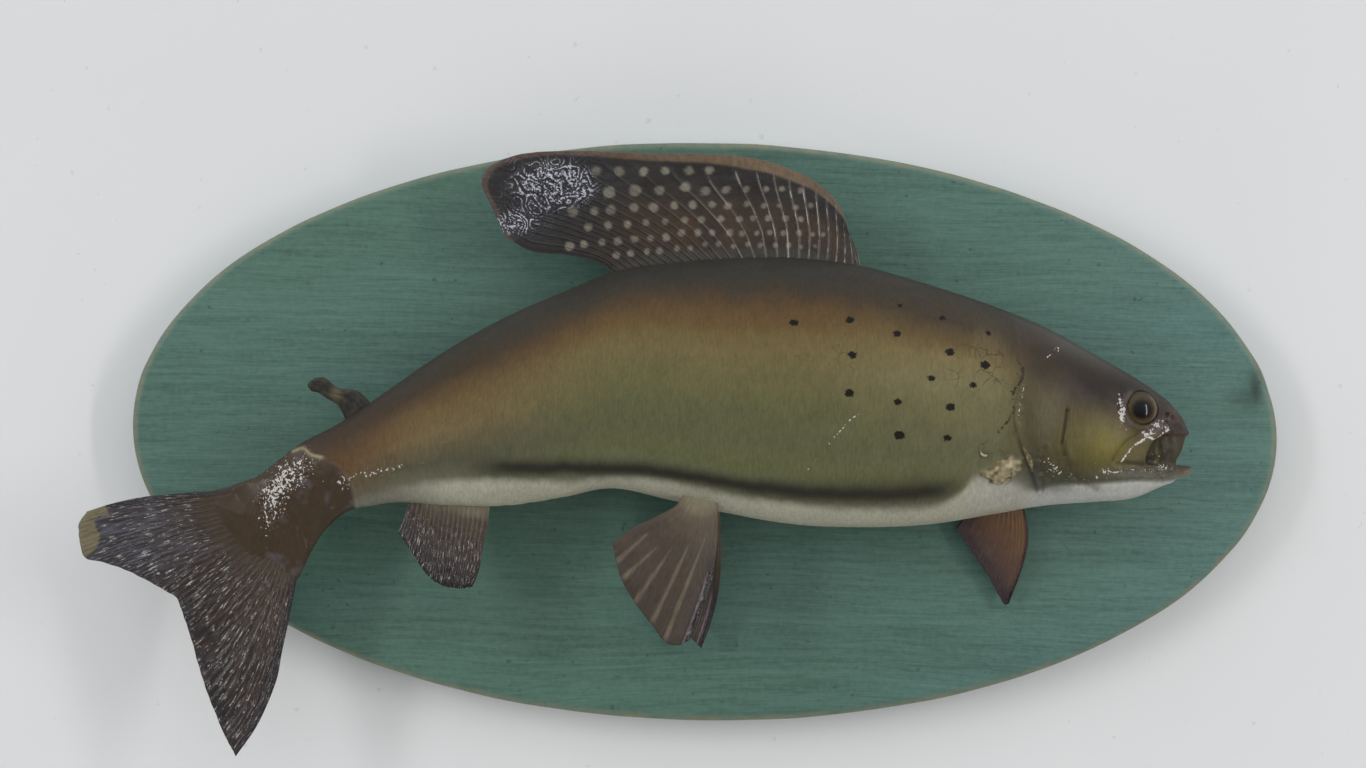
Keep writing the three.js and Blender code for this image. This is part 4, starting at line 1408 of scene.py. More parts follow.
@dataclass(frozen=True)
class Eye:
    """A glass eye with its painted iris and pupil, seated in its socket."""

    side: int
    body: Body
    x: float = 165.1
    z: float = 12.0
    radius: float = 7.2
    depth: float = 4.6
    sink: float = 2.6
    half_width: float = 13.4
    yaw: float = 0.16
    pitch: float = 0.12
    pupil: float = 3.0
    pupil_shift: tuple[float, float] = (-0.6, -0.6)
    rings: int = 44
    spokes: int = 88

    @property
    def centre(self) -> Vector:
        """The middle of the eyeball."""
        out = self.side * (self.half_width - self.sink)
        return Vector((self.x, float(self.body.middle(self.x)) - out, self.z))

    @property
    def turn(self) -> Matrix:
        """The turn from the eye's own axes to the model's."""
        yaw = Matrix.Rotation(self.side * self.yaw, 3, "Z")
        return yaw @ Matrix.Rotation(-self.side * self.pitch, 3, "X")

    def from_ring(self, x: Array, z: Array) -> Array:
        """How far points of the side view lie from the middle of the ring of skin round the eye."""
        return np.hypot(x - self.x - 0.3, z - self.z)

    def away(self, x: Array, y: Array, z: Array, grow: float) -> Array:
        """About how far points lie outside the eyeball.

        Args:
            x, y, z: places along each axis.
            grow: millimetres by which the eyeball is grown first.

        Returns:
            Distances, below zero inside it.
        """
        back = np.array(self.turn.inverted())
        places = [x - self.centre.x, y - self.centre.y, z - self.centre.z]
        size = (self.radius + grow, self.depth + grow, self.radius + grow)
        total = 0.0
        for k in range(3):
            turned = back[k][0] * places[0] + back[k][1] * places[1] + back[k][2] * places[2]
            total = total + (turned / size[k]) ** 2
        return (np.sqrt(total) - 1) * (self.depth + grow)

    def build(self) -> Piece:
        """Makes the eye and dresses it.

        Returns:
            The dressed piece.
        """
        across = np.linspace(0, 1, self.rings + 1)[1:] * np.pi * 0.62
        turn = np.linspace(0, 2 * np.pi, self.spokes, endpoint=False)
        flat, turns = np.meshgrid(across, turn, indexing="ij")
        u = np.concatenate([[0], (np.sin(flat) * np.cos(turns)).ravel()]) * self.radius
        w = np.concatenate([[0], (np.sin(flat) * np.sin(turns)).ravel()]) * self.radius
        v = np.concatenate([[1], np.cos(flat).ravel()]) * self.depth
        local = np.stack([u, -self.side * v, w], -1)
        points = local @ np.array(self.turn).T + np.array(self.centre)
        faces = [ring_fan(1, self.spokes, 0)[:, [2, 0, 1]], ring_quads(self.rings, self.spokes, 1)]
        side_name = "right" if self.side > 0 else "left"
        faces = [rows[:, :: self.side] for rows in faces]
        piece = new_object(f"eye_{side_name}_glass", points, faces)
        store(piece, {PAINT: self._iris(u, w)})
        dress(piece, Finish.EYE.material(), "eye")
        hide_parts(f"eye_{side_name}")
        return piece

    def _iris(self, u: Array, w: Array) -> Array:
        """Paints the iris and the pupil.

        Args:
            u: places forward of the eye's middle.
            w: places above it.

        Returns:
            A colour for each place.
        """
        radius, angle = np.hypot(u, w), np.arctan2(w, u)
        fibre = 0.5 * np.sin(angle * 47) + 0.5 * np.sin(angle * 29 + 1.0)
        stops = ((0.0, 28, 21, 13), (3.2, 40, 29, 17), (4.2, 60, 46, 28),
                 (5.2, 70, 57, 38), (5.9, 56, 47, 35), (6.4, 36, 29, 22))
        colour = ramp(radius + 0.1 * fibre, stops) * (1 + 0.08 * fibre[:, None])
        colour = mix(colour, tint(64, 54, 38), hill(w - 4.6, 1.8) * 0.6)
        colour = mix(colour, tint(84, 64, 34), hill(w + 4.2, 1.6) * hill(u + 1.0, 3.0) * 0.7)
        colour = mix(colour, tint(104, 92, 68), hill(radius - 5.4, 0.6) * smooth(u, 1.5, 5.0) * 0.7)
        from_pupil = np.hypot(u - self.pupil_shift[0], w - self.pupil_shift[1])
        return mix(colour, tint(4, 4, 4), smooth(self.pupil - from_pupil, -1.6, 0.5))


@dataclass(frozen=True)
class Skin:
    """The one skin of head, trunk, mouth, tail root and fin stump, shaped like clay and then meshed."""

    body: Body
    markings: Markings
    eyes: tuple[Eye, ...]
    voxel: float = 0.45
    margin: float = 6.0
    rings: int = 340
    round_points: int = 132
    scale_bed: float = 0.24
    faces: int = 190_000
    mouth: tuple[Point, ...] = (
        (198.0, 2.2), (184.6, 2.0), (177.0, 2.6), (171.6, 0.8), (168.8, -2.6), (167.6, -8.0), (176.0, -8.8),
        (186.0, -9.6), (198.0, -10.4),
    )
    lining: tuple[Point, ...] = (
        (184.4, 8.0), (183.6, 0.8), (182.2, -3.5), (180.2, -7.0), (179.6, -16.0), (150.0, -16.0), (150.0, 8.0),
    )
    mouth_box: tuple[Point, Point] = ((148, -80, -22), (196, -15, 14))
    lining_depth: float = 1.7
    gullet: tuple[float, float] = (189.0, -3.6)
    gullet_radii: tuple[float, float, float] = (21.0, 7.2, 4.6)
    stump: tuple[float, float, float] = (111.8, 19.0, -10.8)
    stump_radii: tuple[float, float, float] = (7.0, 4.6, 5.4)
    loop: tuple[float, float, float] = (104.8, 23.6, -4.0)
    loop_radii: tuple[float, float] = (1.7, 0.5)
    tail_box: tuple[Point, Point] = ((-198, -80, -66), (-150, -45, -12))
    flesh: tuple[str, ...] = (
        "head", "gill_cover_right", "gill_cover_left", "jaw_bone_right", "jaw_bone_left", "lower_jaw",
        "mouth_skin", "trunk_front", "trunk_rear", "tail_stem", "tail_root", "pectoral_stump_right",
    )
    jaw_bone: tuple[Point, ...] = (
        (155.8, -8.2), (159.6, -3.2), (162.6, -0.9), (167.0, 1.7), (172.4, 3.4), (175.6, 5.2), (177.2, 3.8),
        (172.0, 1.4), (169.0, -2.4), (168.0, -7.6), (163.0, -8.8),
    )
    swells: tuple[Patch, ...] = patch_rows(
        (148.0, -3.0, 9.5, 9.0, 0.9), (184.6, 3.2, 1.2, 1.0, 1.0), (124.5, 2.0, 6.0, 13.0, 0.6),
        (153.0, 13.5, 5.0, 5.5, -0.6), (148.0, 22.0, 10.0, 4.0, -0.4, -0.5), (173.0, 4.4, 6.5, 2.6, 0.5, 0.5),
        (160.0, -14.0, 15.0, 4.0, 0.5), (166.0, 20.4, 6.0, 1.8, 0.7, -0.55), (176.2, 10.2, 0.9, 0.9, -1.3),
        (178.4, 9.0, 1.0, 0.8, -1.2), (177.3, 11.4, 1.6, 1.0, 0.45),
    )
    reliefs: tuple[Relief, ...] = (
        Relief(CHEEK_CREASE, -0.8, 0.5),
        Relief(((135.4, -5.5), (137.5, -10.0), (141.0, -14.0), (149.0, -18.0)), -0.45, 1.3),
        Relief(((137.2, 12.0), (136.8, 6.0), (135.8, -1.0), (137.2, -7.0)), 0.5, 1.2),
        Relief(JAW_CREASE, 0.5, 0.6),
        Relief(((154.6, -7.4), (158.2, -2.0), (161.4, 0.6), (166.2, 3.4)), -0.7, 0.8),
        Relief(THROAT_LINE, -0.7, 0.8),
        Relief(((150.0, -12.2), (158.0, -10.4), (168.0, -10.2), (180.0, -10.8)), 0.5, 1.0),
    )
    right_groove: Relief = Relief(((117.6, 27.4), (114.8, 21.8), (114.2, 17.3), (113.0, 12.1), (111.7, 6.2)),
                                  -0.6, 0.6)

    def build(self) -> Piece:
        """Shapes the skin, thins its mesh, paints it and fixes it to the model.

        Returns:
            The dressed piece.
        """
        clay = self._cast()
        self._raise_head(clay)
        self._open_mouth(clay)
        self._seat_eyes(clay)
        self._add_stump(clay)
        self._sheathe_tail(clay)
        points, triangles, quads = clay.surface()
        piece = new_object("fish_skin", points, [part for part in (triangles, quads) if len(part)])
        log.info("skin before thinning: %d faces", len(piece.data.polygons))
        self._thin(piece)
        self._paint(piece)
        dress(piece, Finish.SKIN.material(), "skin")
        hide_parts(*self.flesh)
        log.info("skin: %d faces", len(piece.data.polygons))
        return piece

    def _cast(self) -> Clay:
        """Fills the lofted body.

        Returns:
            The clay.
        """
        count = self.round_points
        t, angle = np.meshgrid(np.linspace(0, 1, self.rings), np.arange(count) / count * 2 * np.pi, indexing="ij")
        rings = self.body.surface(t, angle)
        middle = self.body.middle(rings[..., 0])
        rings[..., 1] = middle + (rings[..., 1] - middle) * (1 - 0.62 * smooth(t, 0.95, 1.0))
        ends = rings[[0, -1]].mean(1)
        points = np.vstack([rings.reshape(-1, 3), ends])
        quads = ring_quads(self.rings, count)[:, [0, 3, 2, 1]]
        snout = ring_fan(0, count, len(points) - 2)[:, [1, 0, 2]]
        triangles = np.vstack([snout, ring_fan((self.rings - 1) * count, count, len(points) - 1)])
        volume = np.einsum("ij,ij->i", points[quads[:, 0]], np.cross(points[quads[:, 1]], points[quads[:, 2]])).sum()
        if volume < 0:
            quads, triangles = quads[:, ::-1], triangles[:, ::-1]
        return Clay(points, triangles, quads, self.voxel, self.margin)

    def _raise_head(self, clay: Clay) -> None:
        """Raises the bones of the head, sinks its creases and lowers the bed of the scales.

        Args:
            clay: the body.
        """
        x, z = clay.side_view()
        lift = -self.scale_bed * scale_cover(x, z, 0.6)
        for raised in [swell.share for swell in self.swells] + [relief.lift for relief in self.reliefs]:
            lift += raised(x, z)
        lift += self._gill_cover(x, z) + self._jaw_bone(x, z) + self._roughness(x, z)
        lift += 0.75 * hill(self.eyes[0].from_ring(x, z) - 6.9, 1.0)
        mouth = outline_distance(x, z, smooth_line(self.mouth, 90, True))
        lift += 0.2 * hill(mouth - 0.7, 1.1) * (x > 160)
        clay.values -= lift[:, None, :].astype(np.float32)
        right = clay.axis(1) < self.body.middle(clay.axis(0))
        clay.values -= (self.right_groove.lift(x, z)[:, None, :] * right).astype(np.float32)

    def _gill_cover(self, x: Array, z: Array) -> Array:
        """The lift of the gill cover, which ends in a free edge over a groove.

        Args:
            x, z: places of the side view.

        Returns:
            Millimetres.
        """
        edge = smooth_line(GILL_EDGE, 60)
        edge_x = np.interp(-z, -edge[:, 1], edge[:, 0])
        ahead = x - edge_x
        ends = smooth(z, -24, -19) * smooth(-z, -31, -25)
        low = smooth(-z, -2, 9)
        cover = smooth(ahead, -0.25, 0.35) * np.exp(-np.maximum(ahead, 0) / 9) * (0.5 + 0.4 * low)
        groove = -hill(ahead + 1.0, 0.8) * smooth(-z, -26, -14) * smooth(z, -21, -15) * (0.3 + 0.25 * low)
        return (cover + groove) * ends

    def _jaw_bone(self, x: Array, z: Array) -> Array:
        """The lift of the upper jaw's bone."""
        inside = -outline_distance(x, z, smooth_line(self.jaw_bone, 80, True))
        return 0.8 * smooth(inside, -0.3, 0.9)

    def _roughness(self, x: Array, z: Array) -> Array:
        """The lumps left by paint and varnish, and the thicker coat over the tail's root.

        Args:
            x, z: places of the side view.

        Returns:
            Millimetres.
        """
        fine, coarse = Noise(11).over(x, z, 1.4), Noise(12).over(x, z, 2.8)
        lumps = np.clip(sum(patch.share(x, z) for patch in self.markings.varnish), 0, 1)
        tail = smooth(-behind_collar(x, z), -0.5, 1.5)
        skin = 0.05 * smooth(x, 112, 122)
        fine = fine * (0.75 - 0.35 * tail)
        return (fine + 0.2 * coarse) * lumps + coarse * (0.05 * tail + skin) + fine * skin + 0.2 * tail

    def _open_mouth(self, clay: Clay) -> None:
        """Cuts the gape and lines it with sunken skin round a hollow gullet.

        Args:
            clay: the body.
        """
        part = clay.part(*self.mouth_box)
        x, y, z = clay.axes(part)
        body = clay.values[part].copy()
        flat_x, flat_z = clay.side_view(part)
        gape = outline_distance(flat_x, flat_z, smooth_line(self.mouth, 90, True))
        clay.cut(part, gape[:, None, :], 1.6)
        inner = outline_distance(flat_x, flat_z, np.array(self.lining))
        fold = 0.35 * np.sin((flat_x - 167) * 1.1 + 0.9 * np.sin(flat_z * 0.5))
        fold = fold + 0.5 * Noise(14).over(flat_x, flat_z, 2.4)
        shallow = smooth(flat_x, 173, 181)
        depth = self.lining_depth * (1 - 0.85 * shallow) - fold * smooth(flat_x, 167, 171) * (1 - shallow)
        lining = np.maximum(body + depth[:, None, :], inner[:, None, :])
        centre = self.body.middle_y
        gullet_x, gullet_z = self.gullet
        a, b, c = self.gullet_radii
        hollow = np.sqrt(((x - gullet_x) / a) ** 2 + ((y - centre) / b) ** 2 + ((z - gullet_z) / c) ** 2)
        hollow = (hollow - 1) * c
        lining = np.maximum(lining, -hollow)
        clay.join(part, lining, 0.8)

    def _seat_eyes(self, clay: Clay) -> None:
        """Cuts the eye sockets.

        Args:
            clay: the body.
        """
        for eye in self.eyes:
            reach = eye.radius + 3
            low = (eye.x - reach, eye.centre.y - reach, eye.z - reach)
            high = (eye.x + reach, eye.centre.y + reach, eye.z + reach)
            part = clay.part(low, high)
            x, y, z = clay.axes(part)
            clay.cut(part, eye.away(x, y, z, -0.05), 0.5)

    def _add_stump(self, clay: Clay) -> None:
        """Adds the crumbling stump of the right pectoral fin and the loop of skin beside it.

        Args:
            clay: the body.
        """
        stump_x, out, stump_z = self.stump
        centre_y = self.body.middle_y - out
        part = clay.part((98, centre_y - 10, -22), (124, centre_y + 6, 2))
        x, y, z = clay.axes(part)
        crumble = Noise(15).at(x, y, z, 2.6) * 1.1 + Noise(16).at(x, y, z, 1.2) * 0.55
        a, b, c = self.stump_radii
        lean = (x - stump_x) * 0.8 + (z - stump_z) * 0.25
        across = (z - stump_z) * 0.9 - (x - stump_x) * 0.35
        away = (np.sqrt((lean / a) ** 2 + ((y - centre_y) / b) ** 2 + (across / c) ** 2) - 1) * b
        clay.join(part, away + crumble, 0.8)
        loop_x, out, loop_z = self.loop
        radius, thickness = self.loop_radii
        ring = np.hypot(x - loop_x, (z - loop_z) * 0.8) - radius
        ring = np.sqrt(ring**2 + (y - (self.body.middle_y - out)) ** 2) - thickness
        ring = np.maximum(ring, (z + 4.6) * 0.6 + (x - 104.2) * 0.8 - 0.6) + 0.4 * crumble * 0.3
        clay.join(part, ring, 0.5)

    def _sheathe_tail(self, clay: Clay) -> None:
        """Draws the skin out over the root of the tail fin.

        Args:
            clay: the body.
        """
        part = clay.part(*self.tail_box)
        x, y, _ = clay.axes(part)
        flat_x, flat_z = clay.side_view(part)
        arc = smooth_line(RAY_START, 60)
        away = outline_distance(flat_x, flat_z, np.vstack([arc, TAIL_ROOT_INSIDE]))
        edge = line_distance(flat_x, flat_z, arc)
        half = 0.8 + 2.7 * smooth(edge, 0, 13) + 0.05 * Noise(17).over(flat_x, flat_z, 2.6)
        slab = np.maximum(away[:, None, :], np.abs(y - self.body.middle(x)) - half[:, None, :])
        clay.join(part, slab, 2.2)

    def _thin(self, piece: Piece) -> None:
        """Smooths the mesh a little and thins it where it is even.

        Args:
            piece: the skin.
        """
        soften = piece.modifiers.new("soften", "SMOOTH")
        soften.factor, soften.iterations = 0.5, 2
        thin = piece.modifiers.new("thin", "DECIMATE")
        triangles = sum(len(p.vertices) - 2 for p in piece.data.polygons)
        thin.ratio = self.faces / triangles
        bake_modifiers(piece)
        piece.data.shade_smooth()

    def _paint(self, piece: Piece) -> None:
        """Stores the paint of the skin, its inner mouth with painted shade in its hollows, its stump, and its
        sockets with painted shade round the eyes.

        Args:
            piece: the skin.
        """
        points = points_of(piece)
        x, y, z = points.T
        coat = self.markings.paint(points)
        colour = coat[PAINT]
        out = np.abs(y - self.body.middle(x))
        sunk = self.body.half_width(x, z) - out
        gape = outline_distance(x, z, smooth_line(self.mouth, 90, True))
        inside = smooth(-gape, -0.8, 0.8) * (x > 160)
        fold = smooth(np.sin((x - 165) * 1.1 + Noise(18).on(points, 3.0) * 1.5), 0.2, 0.9)
        lining = mix(np.broadcast_to(GAPE_DARK, colour.shape), tint(70, 64, 36), fold * smooth(-x, -176, -171))
        lining = mix(lining, tint(60, 52, 38), smooth(x, 173, 179))
        # Painted shade: darker in the gullet's hollow and deeper in towards the middle plane.
        lining = mix(lining, PAINTED_MOUTH_SHADE, hill(np.hypot((x - 167.4) / 2.2, (z + 7.4) / 3.4), 1.0) * 0.9)
        lining = mix(lining, PAINTED_MOUTH_SHADE, smooth(6.0 - out, 0, 4) * smooth(x, 160, 172) * 0.8)
        colour = mix(colour, lining, inside)
        # Painted shade: darker where the skin is sunk deep into the head.
        colour = mix(colour, PAINTED_MOUTH_SHADE, smooth(sunk, 2.6, 4.5) * (x > 155) * (1 - inside) * 0.8)
        stump_x, _, stump_z = self.stump
        proud = smooth(-sunk, 0.3, 0.9) * (np.hypot(x - stump_x, (z - stump_z) * 1.1) < 11.5)
        proud = proud * (y < self.body.middle(x))
        crumb = ramp(Noise(19).on(points, 1.4), ((-0.8, 82, 70, 46), (-0.2, 122, 108, 78),
                                                 (0.4, 150, 138, 108), (1.0, 178, 168, 140)))
        colour = mix(colour, crumb, proud)
        for eye in self.eyes:
            away = eye.away(x, y, z, 0.0)
            # Painted shade: the skin darkens where it meets the eye.
            colour = mix(colour, tint(44, 34, 26), smooth(0.3 - away, 0, 0.5) * 0.6)
            front = hill(eye.from_ring(x, z) - 7.4, 1.0) * smooth(eye.x - 2.0 - x, 0, 2.5)
            colour = mix(colour, tint(84, 74, 74), front * 0.55)
        coat |= {PAINT: colour, GLOSS: np.where(proud > 0.5, 0.6, coat[GLOSS])}
        coat["crackle"] *= 1 - proud
        store(piece, coat)


def scale_cover(x: Array, z: Array, edge: float) -> Array:
    """1 where scales lie in the side view, behind the gill opening and ahead of the tail root's collar.

    Args:
        x, z: places of the side view.
        edge: half the width over which the cover starts.

    Returns:
        A share for each place.
    """
    gill = smooth_line(((112.0, 70.0), (116.5, 34.0), (114.6, 22.0), (113.2, 10.0), (113.8, 0.0), (117.0, -16.0),
                        (120.0, -40.0)), 40)
    front = np.interp(-z, -gill[:, 1], gill[:, 0])
    rear = behind_collar(x, z)
    return smooth(front - x, -edge - 0.01, edge) * smooth(rear - 0.8, -edge - 0.01, edge)


# ---------------------------------------------------------------- the scales


@dataclass(frozen=True)
class ScaleZone:
    """A stretch of the flank with one number of scale rows."""

    x_front: float
    x_rear: float
    rows: int


@dataclass(frozen=True)
class Scales:
    """The overlapping scales of one flank, each a thin closed shell that follows the body's curve."""

    flank: Flank
    markings: Markings
    zones: tuple[ScaleZone, ...] = (
        ScaleZone(120.0, -62.0, 37), ScaleZone(-62.0, -112.0, 29), ScaleZone(-112.0, -162.0, 19),
    )
    lag: float = 0.54
    half_width: float = 0.58
    tip: float = 0.80
    root: float = 0.95
    sunk: float = -0.12
    proud: float = 0.01
    thickness: float = 0.05
    spokes: int = 10
    patch: float = 0.003
    disc_reach: float = 12.0
    discs: tuple[tuple[float, float], ...] = ((52.0, 18.0), (-38.0, 22.0))

    def build(self) -> list[Piece]:
        """Makes one piece for each zone and dresses it.

        Returns:
            The dressed pieces.
        """
        side_name = "right" if self.flank.side > 0 else "left"
        pieces = []
        for number, zone in enumerate(self.zones):
            spots = self._roots(zone, np.random.default_rng(40 + number))
            parts = 2 if len(spots) * 60 > 190_000 else 1
            for part in range(parts):
                piece = self._shells(f"scales_{side_name}_{number}{'ab'[part]}", spots[part::parts])
                pieces.append(piece)
                log.info("%s: %d scales", piece.name, len(spots[part::parts]))
        return pieces

    def _roots(self, zone: ScaleZone, random: np.random.Generator) -> Array:
        """Finds the places of a zone's scales.

        Args:
            zone: the stretch of the flank.
            random: the source of their small shifts.

        Returns:
            Rows of place along the flank, share of the girth, pitch and shade.
        """
        rows = []
        line = self.flank.grid[:, self.flank.girths // 2, 0]
        s, end = (float(np.interp(-x, -line, self.flank.reach)) for x in (zone.x_front, zone.x_rear))
        turn = 0
        while s < end:
            girth = float(self.flank.girth(np.array([s]))[0])
            pitch = girth / zone.rows
            shares = (np.arange(zone.rows) + 0.25 + 0.5 * (turn % 2)) / zone.rows
            rows.append(np.column_stack([np.full(zone.rows, s), shares, np.full(zone.rows, pitch)]))
            s += pitch * self.lag
            turn += 1
        found = np.vstack(rows)
        found[:, 0] += random.normal(0, 0.05, len(found)) * found[:, 2]
        found[:, 1] += random.normal(0, 0.04, len(found)) / zone.rows
        found = found[(found[:, 1] > 0.022) & (found[:, 1] < 0.975)]
        found = np.column_stack([found, random.normal(0, 1, (len(found), 2))])
        return found[self._kept(found)]

    def _kept(self, found: Array) -> Array:
        """Which places lie in the open, clear of the head, the tail root, the discs and the stump.

        Args:
            found: rows of place along the flank, share of the girth and pitch.

        Returns:
            A mask of the rows.
        """
        x, _, z = self.flank.at(found[:, 0], found[:, 1]).T
        kept = scale_cover(x - found[:, 2] * 0.5, z, 0.0) > 0.5
        kept &= behind_collar(x - found[:, 2] * 0.7, z) > 1.0
        if self.flank.side < 0:
            for disc_x, disc_z in self.discs:
                kept &= np.hypot(x - disc_x, z - disc_z) > self.disc_reach
        else:
            kept &= np.hypot(x - 110.0, (z + 10.5) * 1.1) > 8.0
        return kept

    def _shells(self, name: str, spots: Array) -> Piece:
        """Makes the joined mesh of many scales.

        Args:
            name: the piece's name.
            spots: rows of place, share of the girth, pitch, shade and tilt.

        Returns:
            The dressed piece.
        """
        count, spokes = len(spots), self.spokes
        turn = np.arange(spokes) / spokes * 2 * np.pi
        reach = np.where(np.cos(turn) > 0, self.tip, self.root)
        rim_along, rim_across = np.cos(turn) * reach, np.sin(turn) * self.half_width
        along = np.concatenate([[0.0], rim_along * 0.72, rim_along, rim_along * 0.98, [0.0]])
        across = np.concatenate([[0.0], rim_across * 0.76, rim_across, rim_across * 0.98, [0.0]])
        sink = np.concatenate([np.zeros(1 + spokes), np.full(spokes, 0.8), np.ones(spokes + 1)]) * self.thickness
        dome = 0.005 * (1 - (across / self.half_width) ** 2)
        share = (along + self.root) / (self.root + self.tip)
        height = self.sunk + (self.proud - self.sunk) * share**0.8 + dome - sink
        s0, g0, pitch, shade, tilt = (spots[:, k, None] for k in range(5))
        size = pitch * (1 + 0.05 * shade)
        s = s0 + along * size
        girth = self.flank.girth(s0)
        g = g0 + across * size / girth
        here, _, _, out = self.flank.frames(s.ravel(), g.ravel())
        strength = np.minimum(size / 2.8, 1.15) * (1 - 0.45 * smooth(here.reshape(*s.shape, 3)[..., 0], -20, 90))
        proud = height[None] * strength + 0.004 * tilt * (along + self.root)
        points = here + out * np.maximum(proud, -0.22).ravel()[:, None]
        piece = new_object(name, points, self._faces(count))
        piece.data.set_sharp_from_angle(angle=math.radians(35))
        self._dress(piece, points, along, shade)
        layer = piece.data.uv_layers.new(name=BAKE_MAP)
        corner = np.empty(len(piece.data.loops), np.int32)
        piece.data.loops.foreach_get("vertex_index", corner)
        u = 0.01 + 0.98 * s0 / self.flank.reach[-1] + along * self.patch * 0.5
        v = 0.01 + 0.98 * g0 + across * self.patch * 0.8
        layer.data.foreach_set("uv", np.stack([u.ravel(), v.ravel()], -1)[corner].astype(np.float32).ravel())
        return piece

    def _faces(self, count: int) -> list[Array]:
        """The triangles of every scale.

        Args:
            count: how many scales there are.

        Returns:
            Triangles and quads.
        """
        spokes = self.spokes
        i = np.arange(spokes)
        j = (i + 1) % spokes
        inner, rim, under = 1 + i, 1 + spokes + i, 1 + 2 * spokes + i
        inner_j, rim_j, under_j = 1 + j, 1 + spokes + j, 1 + 2 * spokes + j
        last = np.full(spokes, 1 + 3 * spokes)
        fans = [np.stack([np.zeros(spokes, int), inner, inner_j], -1), np.stack([last, under_j, under], -1)]
        strips = [np.stack([inner, rim, rim_j, inner_j], -1), np.stack([rim, under, under_j, rim_j], -1)]
        shift = (np.arange(count) * (2 + 3 * spokes))[:, None, None]
        order = slice(None, None, self.flank.side)
        return [(np.vstack(part)[None] + shift).reshape(-1, part[0].shape[1])[:, order] for part in (fans, strips)]

    def _dress(self, piece: Piece, points: Array, along: Array, shade: Array) -> None:
        """Paints the scales with the body's markings, and a painted highlight that makes each a little lighter at
        its free edge.

        Args:
            piece: the scales.
            points: their vertices.
            along: how far back each vertex of a scale lies.
            shade: how light each scale is.
        """
        coat = self.markings.paint(points)
        # Painted highlight: the free edge of each scale is lightened.
        rim = np.broadcast_to(smooth(along, self.tip * 0.55, self.tip), (len(shade), len(along)))
        tone = 1 + 0.012 * np.broadcast_to(shade, rim.shape) + 0.07 * rim
        coat[PAINT] = coat[PAINT] * tone.ravel()[:, None]
        store(piece, coat)
        dress(piece, Finish.SCALES.material(), "skin")


# ---------------------------------------------------------------- the fins


@dataclass(frozen=True)
class Web:
    """A sheet stretched between four curves of x, z and how far each point lies out from the middle plane.

    The root and the outer edge run from front to rear. The front and rear edges run from the root outwards and
    are stated without their ends, which are those of the root and the outer edge.
    """

    root: tuple[Point, ...]
    edge: tuple[Point, ...]
    front: tuple[Point, ...] = ()
    rear: tuple[Point, ...] = ()

    def at(self, body: Body, u: Array, v: Array) -> Array:
        """Points of the sheet.

        Args:
            body: the body that carries it.
            u: shares of the way from front to rear.
            v: shares of the way from the root to the edge.

        Returns:
            Rows of x, y and z.
        """
        curves = []
        front, rear = (self.root[0], *self.front, self.edge[0]), (self.root[-1], *self.rear, self.edge[-1])
        for given in (self.root, self.edge, front, rear):
            rows = np.array([(p[0], float(body.middle(np.float64(p[0]))) - (p[2] if len(p) > 2 else 0), p[1])
                             for p in given])
            curves.append(SmoothCurve(rows))
        root, edge, front, rear = curves
        p, q = u[..., None], v[..., None]
        sheet = root.at(u) * (1 - q) + edge.at(u) * q + front.at(v) * (1 - p) + rear.at(v) * p
        for curve, share in ((root, 1 - q), (edge, q)):
            sheet = sheet - (curve.at(np.zeros_like(u)) * (1 - p) + curve.at(np.ones_like(u)) * p) * share
        return sheet


@dataclass(frozen=True)
class Sheet:
    """The points of a fin's web, with the share of the way from front to rear and from the root to the edge
    at which each lies, and its ray number, which is whole on a ray."""

    points: Array
    across: Array
    out: Array
    phase: Array

    @property
    def side_view(self) -> tuple[Array, Array]:
        """The x and z of each point."""
        return self.points[..., 0], self.points[..., 2]

    def noise(self, seed: int, pitch: float) -> Array:
        """Random values from -1 to 1 over the side view."""
        return Noise(seed).over(*self.side_view, pitch)


